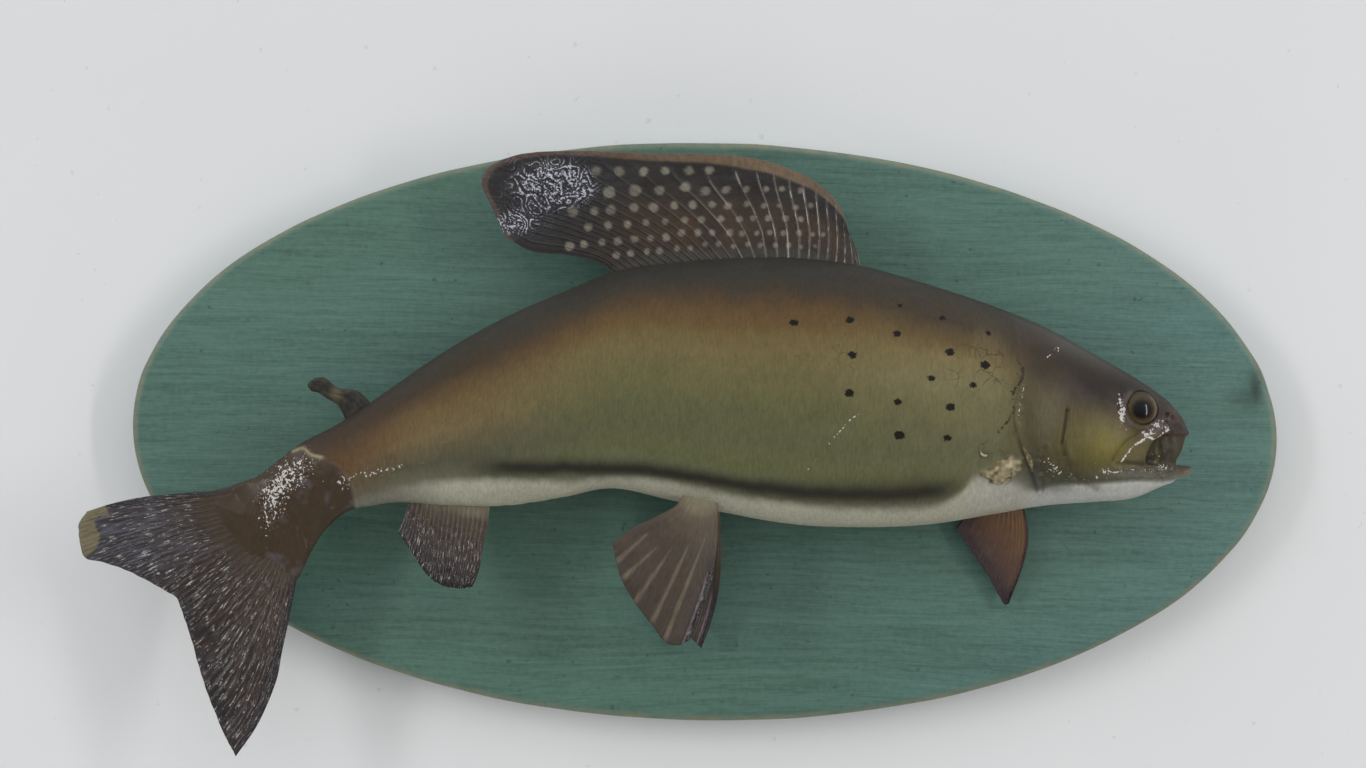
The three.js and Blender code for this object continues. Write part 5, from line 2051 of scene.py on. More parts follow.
@dataclass(frozen=True)
class Fin:
    """A dried fin: a thin web with raised branching rays, a worn edge and a little warp."""

    name: str
    nodes: tuple[str, ...]
    slot: str
    webs: tuple[Web, ...]
    rays: int
    root_thickness: float
    edge_thickness: float
    ridge: float
    wear: float
    warp: float
    seed: int
    columns: int
    rows: int
    gather: float = 0.0
    sparkle: float = 0.35

    def build(self, body: Body) -> Piece:
        """Makes the fin, paints it and fixes it to the model.

        Args:
            body: the body that carries it.

        Returns:
            The dressed piece.
        """
        sheet = self._sheet(body)
        self._lay(sheet)
        half = self._half(sheet)
        count, rows = sheet.points.shape[:2]
        front, back = sheet.points.copy(), sheet.points.copy()
        front[..., 1] -= half
        back[..., 1] += half
        points = np.vstack([front.reshape(-1, 3), back.reshape(-1, 3)])
        piece = new_object(self.name, points, [self._faces(count, rows)])
        colour, gloss, lumps = self.paint(sheet)
        way = np.cumsum(np.linalg.norm(np.diff(sheet.points, axis=1, prepend=sheet.points[:, :1]), axis=2), axis=1)
        values = {GLOSS: gloss, LUMPS: lumps, SPARKLE: self.sparkle * lumps, "ray": sheet.phase, "way": way,
                  "wrinkle": self.wrinkle(*sheet.side_view)}
        values = {name: np.tile(np.broadcast_to(given, half.shape).ravel(), 2) for name, given in values.items()}
        store(piece, {PAINT: np.tile(colour.reshape(-1, 3), (2, 1))} | values)
        dress(piece, Finish.FIN.material(), self.slot)
        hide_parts(*self.nodes)
        log.info("%s: %d faces", self.name, len(piece.data.polygons))
        return piece

    def _sheet(self, body: Body) -> Sheet:
        """Lays out the points of the web.

        Args:
            body: the body that carries it.

        Returns:
            The flat web, cut to its worn edge.
        """
        even = np.linspace(0, 1, self.rays * self.columns + 1)
        u = even - self.gather * np.sin(2 * np.pi * self.rays * even) / (2 * np.pi * self.rays)
        v = np.linspace(0, 1, self.rows + 1)
        grids, phases = [], []
        for number, web in enumerate(self.webs):
            keep = slice(0 if number == 0 else 1, None)
            length = np.linalg.norm(web.at(body, u, np.ones_like(u)) - web.at(body, u, np.zeros_like(u)), axis=1)
            worn = self._worn(u + number, length)
            uu, vv = np.meshgrid(u, v, indexing="ij")
            grids.append(web.at(body, uu, vv * worn[:, None])[keep])
            phases.append(((u + number) * self.rays)[keep])
        phase = np.concatenate(phases)[:, None]
        across, out = np.broadcast_arrays(phase / (self.rays * len(self.webs)), v[None, :])
        return Sheet(np.concatenate(grids), across, out, phase)

    def _worn(self, u: Array, length: Array) -> Array:
        """How much of each column is left of the worn edge.

        Args:
            u: places of the columns, a whole number for each web.
            length: their whole lengths.

        Returns:
            Shares of the lengths.
        """
        place = u * self.rays
        ragged = Noise(self.seed).over(place, place * 0, 0.45) + Noise(self.seed + 1).over(place, place * 0, 1.7)
        cut = self.wear * (0.45 + 0.35 * ragged + 0.3 * np.abs(np.sin(np.pi * place)))
        return 1 - np.clip(cut, 0, None) / np.maximum(length, 4)

    def _lay(self, sheet: Sheet) -> None:
        """Warps the sheet a little, more towards its edge."""
        sway = sheet.noise(self.seed + 2, 17.0) + 0.4 * sheet.noise(self.seed + 3, 7.0)
        sheet.points[..., 1] += self.warp * sway * smooth(sheet.out, 0.05, 0.9)

    def wrinkle(self, x: Array, z: Array) -> Array:
        """Where the varnish has wrinkled, which is nowhere on most fins."""
        return np.zeros_like(x + z)

    def ray(self, sheet: Sheet) -> Array:
        """How high the rays stand; each splits in two on its way out.

        Args:
            sheet: the web.

        Returns:
            0 in the web and 1 on a ray.
        """
        single = (0.5 + 0.5 * np.cos(2 * np.pi * sheet.phase)) ** 2
        double = (0.5 + 0.5 * np.cos(4 * np.pi * (sheet.phase + 0.25))) ** 2
        split = smooth(sheet.out, 0.45, 0.75)
        return single * (1 - split) + double * split

    def fibre(self, sheet: Sheet, seed: int) -> Array:
        """Random streaks that run along the rays, from -1 to 1."""
        wide, far = np.broadcast_arrays(sheet.phase * 5.0, sheet.out / 0.09)
        return Noise(seed).at(wide + far * 0.35, far, far * 0, 1.0)

    def _half(self, sheet: Sheet) -> Array:
        """Half the fin's thickness.

        Args:
            sheet: the web.

        Returns:
            Millimetres for each point.
        """
        out = sheet.out
        half = (self.root_thickness + (self.edge_thickness - self.root_thickness) * out) / 2
        joints = 1 - 0.25 * smooth(np.sin(out * 150 + np.sin(sheet.phase * 7) * 2), 0.4, 1.0)
        half = half - self.ridge * 0.5 + self.ridge * self.ray(sheet) * joints
        half = half + 0.06 * sheet.noise(self.seed + 4, 1.4)
        half = half * (0.35 + 0.65 * smooth((1 - out), 0, 0.04))
        ends = np.minimum(sheet.across, 1 - sheet.across) * len(self.webs) * self.rays
        return np.maximum(half * (0.4 + 0.6 * smooth(ends, 0, 0.5)), 0.12)

    def _faces(self, count: int, rows: int) -> Array:
        """Joins both sides by a rim.

        Args:
            count: columns of points.
            rows: points in a column.

        Returns:
            The faces of the whole fin.
        """
        total = count * rows
        rim = np.concatenate([np.arange(count) * rows, (count - 1) * rows + np.arange(1, rows),
                              np.arange(count - 2, -1, -1) * rows + rows - 1, np.arange(rows - 2, 0, -1)])
        after = np.roll(rim, -1)
        band = np.stack([rim, after, after + total, rim + total], -1)
        return np.vstack([grid_quads(count, rows, 0, True), grid_quads(count, rows, total), band])

    def paint(self, sheet: Sheet) -> Coat:
        """Paints the fin.

        Args:
            sheet: the web.

        Returns:
            A colour, a roughness and a share of lumpy varnish for each point.
        """
        raise NotImplementedError(self.name)


@dataclass(frozen=True)
class DorsalFin(Fin):
    """The sail-like back fin, dark with rows of pale spots and a brown border.

    A row of spots is its height, its first x, its steps at the front and rear, its number of spots, its
    droop towards the rear and its spots' sizes at the front and rear.
    """

    spot_rows: tuple[tuple[float, float, float, float, int, float, float, float], ...] = (
        (72.9, 41.4, 5.3, 5.6, 15, 0.16, 0.8, 1.2),
        (77.8, 44.8, 5.1, 6.6, 18, 0.12, 0.85, 1.6),
        (83.1, 35.2, 5.9, 8.0, 13, 0.09, 1.0, 1.7),
        (88.2, 39.0, 5.8, 8.6, 14, 0.07, 0.85, 2.0),
        (94.4, 34.6, 6.2, 10.5, 10, 0.04, 0.95, 2.1),
        (100.8, 0.0, 8.2, 9.5, 6, 0.0, 1.4, 2.0),
    )

    def paint(self, sheet: Sheet) -> Coat:
        """Paints the sail.

        Args:
            sheet: the web.

        Returns:
            A colour, a roughness and a share of lumpy varnish for each point.
        """
        across, out = sheet.across, sheet.out
        x, z = sheet.side_view
        cloud = sheet.noise(70, 8.0)
        colour = np.broadcast_to(tint(34, 30, 27), sheet.points.shape).copy()
        brown = hill(out - 0.32, 0.30) * smooth(x, -60, -5) * (0.8 + 0.4 * cloud)
        colour = mix(colour, tint(62, 45, 30), brown)
        colour = mix(colour, tint(66, 62, 54), smooth(0.16 - out, 0, 0.1) * 0.7)
        for spot_x, spot_z, size, strength in self._spots():
            near = (np.abs(x - spot_x) < 6) & (np.abs(z - spot_z) < 6)
            away = np.hypot(x[near] - spot_x, z[near] - spot_z)
            ragged = Noise(71).over(x[near], z[near], 1.5) * 0.3
            colour[near] = mix(colour[near], tint(124, 117, 104), smooth(size - away + ragged, -0.5, 0.5) * strength)
        length = np.linalg.norm(sheet.points[:, -1] - sheet.points[:, 0], axis=1)[:, None]
        from_edge = length * (1 - out)
        width = np.interp(across, (0, 0.1, 0.35, 0.55, 0.8, 1.0), (0.5, 4.0, 4.6, 2.6, 2.4, 4.2))
        border = smooth(width - from_edge + 0.4 * cloud, -0.6, 0.8)
        rear_edge = smooth(3.0 - (1 - across) * 46 + 0.4 * cloud, -0.6, 0.8) * smooth(out, 0.85, 1.0)
        rim = ramp(across, ((0.0, 84, 74, 60), (0.3, 106, 87, 66), (0.6, 84, 66, 54), (1.0, 78, 62, 57)))
        colour = colour + (rim - colour) * np.maximum(border, rear_edge)[..., None]
        shine = self.wrinkle(x, z)
        # Painted sheen: the wrinkled patch is tinted bluish grey.
        colour = mix(colour, tint(46, 43, 52), shine * 0.6)
        # Painted highlights: pale broken lines along the front rays.
        broken = 0.15 + 0.85 * smooth(self.fibre(sheet, 86), -0.2, 0.3)
        front = smooth(x, -20, 40) * self.ray(sheet) ** 6 * broken * smooth(from_edge, 5.0, 8.0)
        colour = mix(colour, tint(190, 184, 172), front * 0.9)
        return colour, 0.30 - 0.14 * np.maximum(shine, front), 0.1 + 0.7 * shine

    def wrinkle(self, x: Array, z: Array) -> Array:
        """Where the varnish has wrinkled, in a patch at the rear top that is painted with glints, and a small one
        below it.
        """
        return np.clip(1.3 * Patch(-60, 95, 19, 11).share(x, z) + Patch(-75, 79.5, 10, 5.5).share(x, z), 0, 1)

    def ray(self, sheet: Sheet) -> Array:
        """How high the rays stand; this fin's are thin and don't split."""
        return (0.5 + 0.5 * np.cos(2 * np.pi * sheet.phase)) ** 20 * (1 - smooth(sheet.out, 0.84, 0.92))

    def _spots(self) -> Iterator[tuple[float, float, float, float]]:
        """Lays out the pale spots in rows that follow the back.

        Yields:
            The x, z, size and strength of each.
        """
        random = np.random.default_rng(72)
        for height, x, step_front, step_rear, count, droop, size_front, size_rear in self.spot_rows:
            for number in range(count):
                share = number / (count - 1)
                size = size_front + (size_rear - size_front) * share
                place = (x + random.normal(0, 0.4), height - droop * max(0.0, -2.0 - x) + random.normal(0, 0.4))
                yield *place, size * random.uniform(0.85, 1.15), random.uniform(0.62, 0.9)
                x -= step_front + (step_rear - step_front) * share

    def _lay(self, sheet: Sheet) -> None:
        """Warps the sheet, and wrinkles the dried patch at its rear top.

        Args:
            sheet: the web.
        """
        super()._lay(sheet)
        x, z = sheet.side_view
        ripple = np.sin((x * 0.92 + z * 0.4 + sheet.noise(73, 5.0) * 4.0) * 2 * np.pi / 2.2)
        sheet.points[..., 1] -= (0.16 * ripple + 0.2 * sheet.noise(74, 1.3)) * self.wrinkle(x, z)


class AdiposeFin(Fin):
    """The small fleshy fin ahead of the tail, a dark bent club."""

    def paint(self, sheet: Sheet) -> Coat:
        """Paints the club.

        Args:
            sheet: the web.

        Returns:
            A colour, a roughness and a share of lumpy varnish for each point.
        """
        colour = ramp(sheet.noise(75, 1.3), ((-0.7, 22, 18, 13), (0.2, 38, 32, 22), (0.9, 52, 46, 32)))
        pale = Patch(-142.5, 13.0, 2.4, 2.2).share(*sheet.side_view)
        return mix(colour, tint(96, 88, 62), pale * 0.7), np.array(0.34), np.array(0.3)


class AnalFin(Fin):
    """The fin behind the vent, pale at its base and dark towards its worn edge."""

    def paint(self, sheet: Sheet) -> Coat:
        """Paints the fin.

        Args:
            sheet: the web.

        Returns:
            A colour, a roughness and a share of lumpy varnish for each point.
        """
        across, out = sheet.across, sheet.out
        colour = ramp(out + 0.05 * sheet.noise(76, 4.0), (
            (0.0, 140, 136, 112), (0.12, 112, 106, 80), (0.24, 70, 58, 44), (0.5, 52, 38, 31), (0.8, 42, 33, 33),
            (1.0, 30, 25, 26)))
        colour = mix(colour, tint(116, 100, 80), self.ray(sheet) * 0.3 * smooth(1 - out, 0.1, 0.6))
        colour = mix(colour, tint(52, 44, 44), hill(1 - across, 0.05) * 0.4)
        return colour, 0.34 - 0.12 * out, 0.3 + 0.6 * smooth(out, 0.1, 0.6)


@dataclass(frozen=True)
class PelvicFin(Fin):
    """A belly fin, brown with a few pale stripes that widen outwards."""

    stripes: tuple[tuple[Point, Point], ...] = ()

    def paint(self, sheet: Sheet) -> Coat:
        """Paints the fin.

        Args:
            sheet: the web.

        Returns:
            A colour, a roughness and a share of lumpy varnish for each point.
        """
        across, out = sheet.across, sheet.out
        x, z = sheet.side_view
        cloud = sheet.noise(77, 5.0)
        colour = ramp(out + 0.04 * cloud, (
            (0.0, 150, 146, 126), (0.10, 128, 120, 96), (0.22, 84, 70, 52), (0.5, 64, 52, 38), (0.75, 66, 53, 42),
            (1.0, 60, 49, 40)))
        dark = smooth(0.24 - across, 0, 0.14) * smooth(out, 0.45, 0.75)
        colour = mix(colour, tint(36, 30, 31), dark)
        for (from_x, from_z), (to_x, to_z) in self.stripes:
            run, rise = to_x - from_x, to_z - from_z
            length = math.hypot(run, rise)
            place = ((x - from_x) * run + (z - from_z) * rise) / length**2
            away = np.abs((x - from_x) * rise - (z - from_z) * run) / length
            width = 0.3 + 0.65 * np.clip(place, 0, 1) + 0.25 * cloud
            share = smooth(width - away, -0.3, 0.3) * smooth(place, -0.04, 0.06) * smooth(-place, -1.06, -0.96)
            colour = mix(colour, tint(104, 92, 76), share * 0.75)
        colour = mix(colour, tint(110, 96, 80), self.ray(sheet) * 0.25 * smooth(0.3 - out, 0, 0.2))
        # Painted highlight: a purplish pale streak along the dark front rays.
        streak = hill(across - 0.13, 0.025) * smooth(out, 0.6, 0.75)
        return mix(colour, tint(120, 104, 108), streak * 0.8), 0.36 - 0.16 * dark, 0.15 + 0.85 * dark


class PectoralFin(Fin):
    """The far breast fin, orange-brown with dark glossy edges."""

    def paint(self, sheet: Sheet) -> Coat:
        """Paints the fin.

        Args:
            sheet: the web.

        Returns:
            A colour, a roughness and a share of lumpy varnish for each point.
        """
        across, out = sheet.across, sheet.out
        colour = ramp(out + 0.06 * sheet.noise(78, 5.0), (
            (0.0, 120, 90, 54), (0.35, 112, 78, 44), (0.7, 88, 60, 42), (1.0, 60, 44, 40)))
        colour = mix(colour, tint(146, 112, 62), self.ray(sheet) * 0.35 * smooth(0.8 - out, 0, 0.5))
        edges = np.maximum(smooth(0.14 - across, 0, 0.08), smooth(across, 0.9, 0.97))
        edges = np.maximum(edges, smooth(out, 0.86, 0.95))
        return mix(colour, tint(56, 40, 42), edges * 0.9), 0.34 - 0.16 * edges, 0.1 + 0.9 * edges


class TailFin(Fin):
    """The forked tail fin, brown at its root, with dark lobes and a worn bare tip."""

    def paint(self, sheet: Sheet) -> Coat:
        """Paints the tail.

        Args:
            sheet: the web.

        Returns:
            A colour, a roughness and a share of lumpy varnish for each point.
        """
        across, out = sheet.across, sheet.out
        x, z = sheet.side_view
        bare = self._bare(sheet)
        colour = ramp(out + 0.08 * sheet.noise(79, 7.0), (
            (0.0, 60, 47, 34), (0.3, 54, 41, 31), (0.6, 44, 33, 29), (1.0, 34, 27, 28)))
        colour = mix(tint(61, 48, 34), colour, bare)
        streaks = smooth(self.fibre(sheet, 83), 0.0, 0.7)
        upper = smooth(0.5 - across, 0.0, 0.2)
        # Painted sheen: blue-grey streaks along the upper lobe's rays.
        colour = mix(colour, tint(84, 82, 92), upper * smooth(out, 0.25, 0.55) * (0.2 + 0.6 * streaks))
        lead = np.maximum(smooth(0.07 - across, 0, 0.06), smooth(across, 0.91, 0.98))
        colour = mix(colour, tint(34, 28, 36), lead * 0.8)
        colour = mix(colour, tint(80, 60, 50), streaks * 0.4 * bare * (1 - upper))
        tip = outline_distance(x, z, np.array([(-245, -28), (-229.4, -30), (-228.6, -34.5), (-234, -36.5),
                                               (-231.5, -42), (-232.5, -47), (-236.5, -51.5), (-246, -52)]))
        worn = smooth(-tip - 0.7 * sheet.noise(80, 2.2), -0.3, 0.4)
        colour = mix(colour, tint(104, 95, 70), worn)
        return colour, 0.3 - 0.12 * bare + 0.3 * worn, (0.15 + 0.75 * bare) * (1 - 0.8 * worn)

    def _bare(self, sheet: Sheet) -> Array:
        """How far the rays come out from under the smooth skin of the tail's root, from 0 to 1."""
        away = outline_distance(*sheet.side_view, np.vstack([smooth_line(RAY_START, 60), TAIL_ROOT_INSIDE]))
        return smooth(away + 1.5 * sheet.noise(84, 4.0), 0.0, 7.0)

    def _half(self, sheet: Sheet) -> Array:
        """Half the fin's thickness, even where its root runs under the skin and lumpy beyond.

        Args:
            sheet: the web.

        Returns:
            Millimetres for each point.
        """
        bare = self._bare(sheet)
        half = super()._half(sheet) + 0.5 * self.ridge * (1 - self.ray(sheet)) * (1 - bare)
        lumps = sheet.noise(81, 2.4) * 0.12 + self.fibre(sheet, 85) * 0.24
        return half + lumps * bare * smooth(1 - sheet.out, 0.02, 0.12)


def make_fins() -> tuple[Fin, ...]:
    """The seven fins with their outlines.

    Returns:
        The fins, from the back round the belly to the tail.
    """
    dorsal = Web(
        root=((59.3, 63.5), (36, 66.4), (8, 65.8), (-14, 63.6), (-34.5, 60.2)),
        edge=((53.8, 78.7, 0.5), (50.2, 89.2, 1), (41.1, 97.8, 1.5), (27.5, 103.9, 2), (10, 107.2, 2.5),
              (-24, 107.7, 2.5), (-55, 108.1, 2), (-76, 106, 1), (-86.2, 100.6), (-88.2, 95.6), (-84.6, 87.4),
              (-78.6, 74.7)),
        front=((57, 72),),
        rear=((-42, 65.4), (-54.6, 68.1), (-68, 69.2)),
    )
    adipose = Web(
        root=((-129, 9.5), (-138.4, 3)),
        edge=((-151.2, 19), (-153.5, 16.4), (-152, 14)),
        front=((-134, 14.2), (-142, 15.6), (-147.4, 19.4)),
        rear=((-142, 9), (-146.2, 11.4), (-149.4, 13.4)),
    )
    anal = Web(
        root=((-82.4, -24.5), (-99, -23.5), (-112.4, -22.5)),
        edge=((-88.9, -60.8), (-94, -61.6), (-99.6, -61), (-105.6, -57.6), (-111.4, -49.8), (-118, -40)),
        front=((-83.4, -36), (-84.9, -43.5), (-86.3, -53)),
        rear=((-114.6, -30),),
    )
    pelvic_right = Web(
        root=((4.6, -20.5, 7.5), (-0.4, -19, 8.0), (-5.6, -19.5, 7.5)),
        edge=((-5.2, -78.2, 16), (-9, -80.2, 16.6), (-13.4, -79.6, 17), (-20, -71.9, 17.5), (-31, -56.4, 18),
              (-35.2, -41.8, 17.5)),
        front=((5.2, -31, 12.5), (4.8, -43, 14), (2.6, -57, 15)),
        rear=((-11.3, -27.4, 12.5), (-19, -31.7, 15), (-28, -36.3, 17)),
    )
    pelvic_left = Web(
        root=((5.6, -21.5, -10.5), (1, -20, -11.5), (-4.6, -20.5, -11)),
        edge=((-0.2, -85.2, -17), (-3.8, -82, -17.6), (-9, -76, -18), (-15, -66, -18.5), (-18.6, -54, -18)),
        front=((6.6, -36, -13), (7, -55, -15), (4.6, -70.7, -16.5)),
        rear=((-9.6, -28, -14), (-14, -39, -16.6)),
    )
    pectoral = Web(
        root=((120.4, -16, -17), (117, -13, -18), (113.4, -10.5, -19)),
        edge=((121.6, -66.2, -24), (120.2, -66.8, -24), (118, -64, -24), (113.6, -56, -24), (109.4, -50, -23.6),
              (99.8, -36.6, -22.6)),
        front=((126.4, -28, -20), (128.6, -39.6, -22), (127, -50, -23)),
        rear=((110.6, -19, -20.6), (105.6, -28, -22)),
    )
    split, fork = (-168.8, -40.7), (-201.8, -66.3)
    tail_upper = Web(
        root=((-181.3, -22.8), split),
        edge=((-236.4, -33.4), (-239.3, -38), (-239, -45), (-237.1, -51), (-230, -52.9), (-220.5, -56.2),
              (-209.8, -61.5), fork),
        front=((-188.2, -24.6), (-205.8, -26.4), (-214.6, -27.4), (-226.9, -30.2)),
    )
    tail_lower = Web(
        root=(split, (-156.4, -58.4)),
        edge=(fork, (-197.1, -79.1), (-191.2, -98.6), (-183.4, -117.6), (-178.6, -126.8)),
        rear=((-159.3, -74.4), (-161.8, -87.5), (-163.4, -96.9), (-170.6, -114.8)),
    )
    stripes = (
        ((-21.4, -37.7), (-33.0, -48.5)), ((-17.5, -42.6), (-30.6, -54.9)), ((-12.6, -43.6), (-25.9, -63.9)),
        ((-5.8, -42.0), (-19.0, -71.0)), ((1.0, -37.7), (-14.3, -77.8)),
    )
    return (
        DorsalFin("dorsal_sail", ("dorsal_fin",), "dorsal_fin", (dorsal,),
                  rays=27, root_thickness=2.4, edge_thickness=0.7, ridge=0.3, wear=0.35, warp=0.8, seed=100,
                  columns=14, rows=100, gather=0.85, sparkle=0.5),
        AdiposeFin("adipose_club", ("adipose_fin",), "adipose_fin", (adipose,),
                   rays=3, root_thickness=2.4, edge_thickness=2.2, ridge=0.2, wear=0.3, warp=0.3, seed=110,
                   columns=9, rows=40),
        AnalFin("anal_web", ("anal_fin",), "fin", (anal,),
                rays=17, root_thickness=1.8, edge_thickness=0.8, ridge=0.26, wear=0.7, warp=0.4, seed=120,
                columns=9, rows=60, sparkle=0.78),
        PelvicFin("pelvic_web_right", ("pelvic_fin_right",), "fin", (pelvic_right,),
                  rays=13, root_thickness=1.6, edge_thickness=0.7, ridge=0.12, wear=0.4, warp=0.5, seed=130,
                  columns=9, rows=90, sparkle=0.75, stripes=stripes),
        PelvicFin("pelvic_web_left", ("pelvic_fin_left",), "fin", (pelvic_left,),
                  rays=10, root_thickness=2.0, edge_thickness=0.7, ridge=0.3, wear=0.5, warp=0.5, seed=140,
                  columns=8, rows=70),
        PectoralFin("pectoral_web_left", ("pectoral_fin_left",), "fin", (pectoral,),
                    rays=11, root_thickness=2.0, edge_thickness=0.7, ridge=0.26, wear=0.3, warp=0.4, seed=150,
                    columns=9, rows=80),
        TailFin("tail_fork", ("tail_fin_upper", "tail_fin_lower"), "tail", (tail_upper, tail_lower),
                rays=13, root_thickness=1.8, edge_thickness=0.9, ridge=0.2, wear=0.4, warp=0.9, seed=160,
                columns=11, rows=90, sparkle=0.74),
    )


# ---------------------------------------------------------------- the plaque


@dataclass(frozen=True)
class Plaque:
    """The oval board with its worn arris, and the recesses behind it."""

    half_length: float = 229.0
    half_height: float = 115.7
    thickness: float = 19.0
    front_arris: float = 2.8
    back_arris: float = 0.8
    segments: int = 288
    face_insets: tuple[float, ...] = (112, 100, 85, 70, 56, 44, 34, 26, 20, 15, 11, 8, 6, 4.6, 3.6)
    waviness: float = 0.22
    hanger_z: float = 78.0
    pocket: tuple[float, float, float] = (31.0, 9.0, 4.0)
    recess: tuple[float, float, float] = (13.0, 5.5, 10.0)
    bores: tuple[tuple[float, float], ...] = ((52.0, 18.0), (-38.0, 22.0))
    bore_radius: float = 7.0
    bore_depth: float = 6.1
    hole_radius: float = 2.5
    screw_x: float = 23.0
    screw_hole: float = 1.7

    def build(self) -> Piece:
        """Makes the board, cuts its recesses and dresses it.

        Returns:
            The dressed piece.
        """
        rings = [(inset, -self.thickness) for inset in self.face_insets]
        for turn in np.linspace(np.pi / 2, 0, 6):
            inset, drop = (self.front_arris * (1 - share) for share in (math.cos(turn), math.sin(turn)))
            rings.append((inset, drop - self.thickness))
        rings += [(0.0, -12.0), (0.0, -6.0), (0.0, -self.back_arris), (self.back_arris, 0.0), (40.0, 0.0),
                  (112.0, 0.0)]
        turn = np.arange(self.segments) / self.segments * 2 * np.pi
        points = []
        for inset, y in rings:
            flat = np.zeros_like(turn)
            wobble = Noise(90).at(np.cos(turn) * 12, np.sin(turn) * 12, flat, 1.0) * self.waviness
            near_edge = 1.0 if inset < 8 else 0.0
            reach = 1 - inset / self.half_height
            x = np.cos(turn) * (self.half_length * reach if inset > 8 else self.half_length - inset)
            z = np.sin(turn) * (self.half_height - inset)
            chip = np.maximum(Noise(91).at(np.cos(turn) * 40, np.sin(turn) * 20, flat, 1.0) - 0.35, 0)
            back = near_edge * chip * 0.6 * (0.2 < inset < 2.7 and y < -self.thickness / 2)
            points.append(np.stack([x + np.cos(turn) * wobble * near_edge, flat + y + back,
                                    z + np.sin(turn) * wobble * near_edge], -1))
        count = self.segments
        points = np.vstack(points + [np.array([[0, -self.thickness, 0], [0, 0, 0]])])
        back = ring_fan((len(rings) - 1) * count, count, len(points) - 1)[:, [1, 0, 2]]
        front = ring_fan(0, count, len(points) - 2)
        piece = new_object("plaque", points, [ring_quads(len(rings), count), front, back])
        self._cut(piece)
        self._wear(piece)
        dress(piece, Finish.BOARD.material(), "plaque")
        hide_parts("board")
        return piece

    def _slot(self, size: tuple[float, float, float]) -> Piece:
        """A round-ended cutter behind the board, at the hanger.

        Args:
            size: half its length, half its height and its depth.

        Returns:
            The cutter.
        """
        half_length, half_height, depth = size
        turn = np.linspace(-np.pi / 2, np.pi / 2, 17)
        shift = half_length - half_height
        x = np.concatenate([shift + half_height * np.cos(turn), -shift - half_height * np.cos(turn)])
        z = np.concatenate([half_height * np.sin(turn), -half_height * np.sin(turn)]) + self.hanger_z
        return self._prism("slot_cutter", x, z, -depth, 2.0)

    def _prism(self, name: str, x: Array, z: Array, y_front: float, y_back: float) -> Piece:
        """A prism along Y over an outline.

        Args:
            name: the object's name.
            x, z: the outline.
            y_front, y_back: its ends.

        Returns:
            The prism.
        """
        count = len(x)
        points = np.vstack([np.stack([x, np.full(count, y), z], -1) for y in (y_front, y_back)])
        i = np.arange(count)
        j = (i + 1) % count
        sides = np.stack([i, i + count, j + count, j], -1)
        return new_object(name, points, [sides, i[None, :], (i[::-1] + count)[None, :]])

    def _bore(self, x: float, z: float, radius: float, y_front: float, steps: int = 36) -> Piece:
        """A round cutter along Y."""
        turn = np.arange(steps) / steps * 2 * np.pi
        return self._prism("bore_cutter", x + radius * np.cos(turn), z + radius * np.sin(turn), y_front, 2.0)

    def _cut(self, piece: Piece) -> None:
        """Cuts the pocket, the nail's recess and the screw holes out of the board.

        Args:
            piece: the board.
        """
        cutters = [self._slot(self.pocket), self._slot(self.recess)]
        for x, z in self.bores:
            cutters.append(self._bore(x, z, self.bore_radius, -self.bore_depth))
            cutters.append(self._bore(x, z, self.hole_radius, -self.thickness - 2))
        for side in (-1, 1):
            cutters.append(self._bore(side * self.screw_x, self.hanger_z, self.screw_hole, -14.0, 20))
        for cutter in cutters:
            cut = piece.modifiers.new("cut", "BOOLEAN")
            cut.operation, cut.solver, cut.object = "DIFFERENCE", "EXACT", cutter
        bake_modifiers(piece)
        for cutter in cutters:
            bpy.data.objects.remove(cutter)
        piece.data.shade_smooth()
        piece.data.set_sharp_from_angle(angle=math.radians(38))

    def _wear(self, piece: Piece) -> None:
        """Stores how worn and how smudged each place is.

        Args:
            piece: the board.
        """
        x, y, z = points_of(piece).T
        turn = np.arctan2(z / self.half_height, x / self.half_length)
        rim_x, rim_z = self.half_length * np.cos(turn), self.half_height * np.sin(turn)
        inset = np.hypot(rim_x, rim_z) - np.hypot(x, z)
        arris = smooth(3.4 - inset, 0.0, 2.6) * smooth(-y, self.thickness - 4.2, self.thickness - 1.6)
        edge = smooth(-y, 8, self.thickness - 2) * smooth(1.5 - inset, 0, 1.5) * 0.35
        smudge = Patch(219.5, 20.0, 3.0, 7.0).share(x, z) * (y < -15)
        store(piece, {"wear": np.clip(np.maximum(arris, edge), 0, 1), "smudge": smudge * 0.9})


# ---------------------------------------------------------------- the room


WALL_WHITE = tint(227, 226, 226)


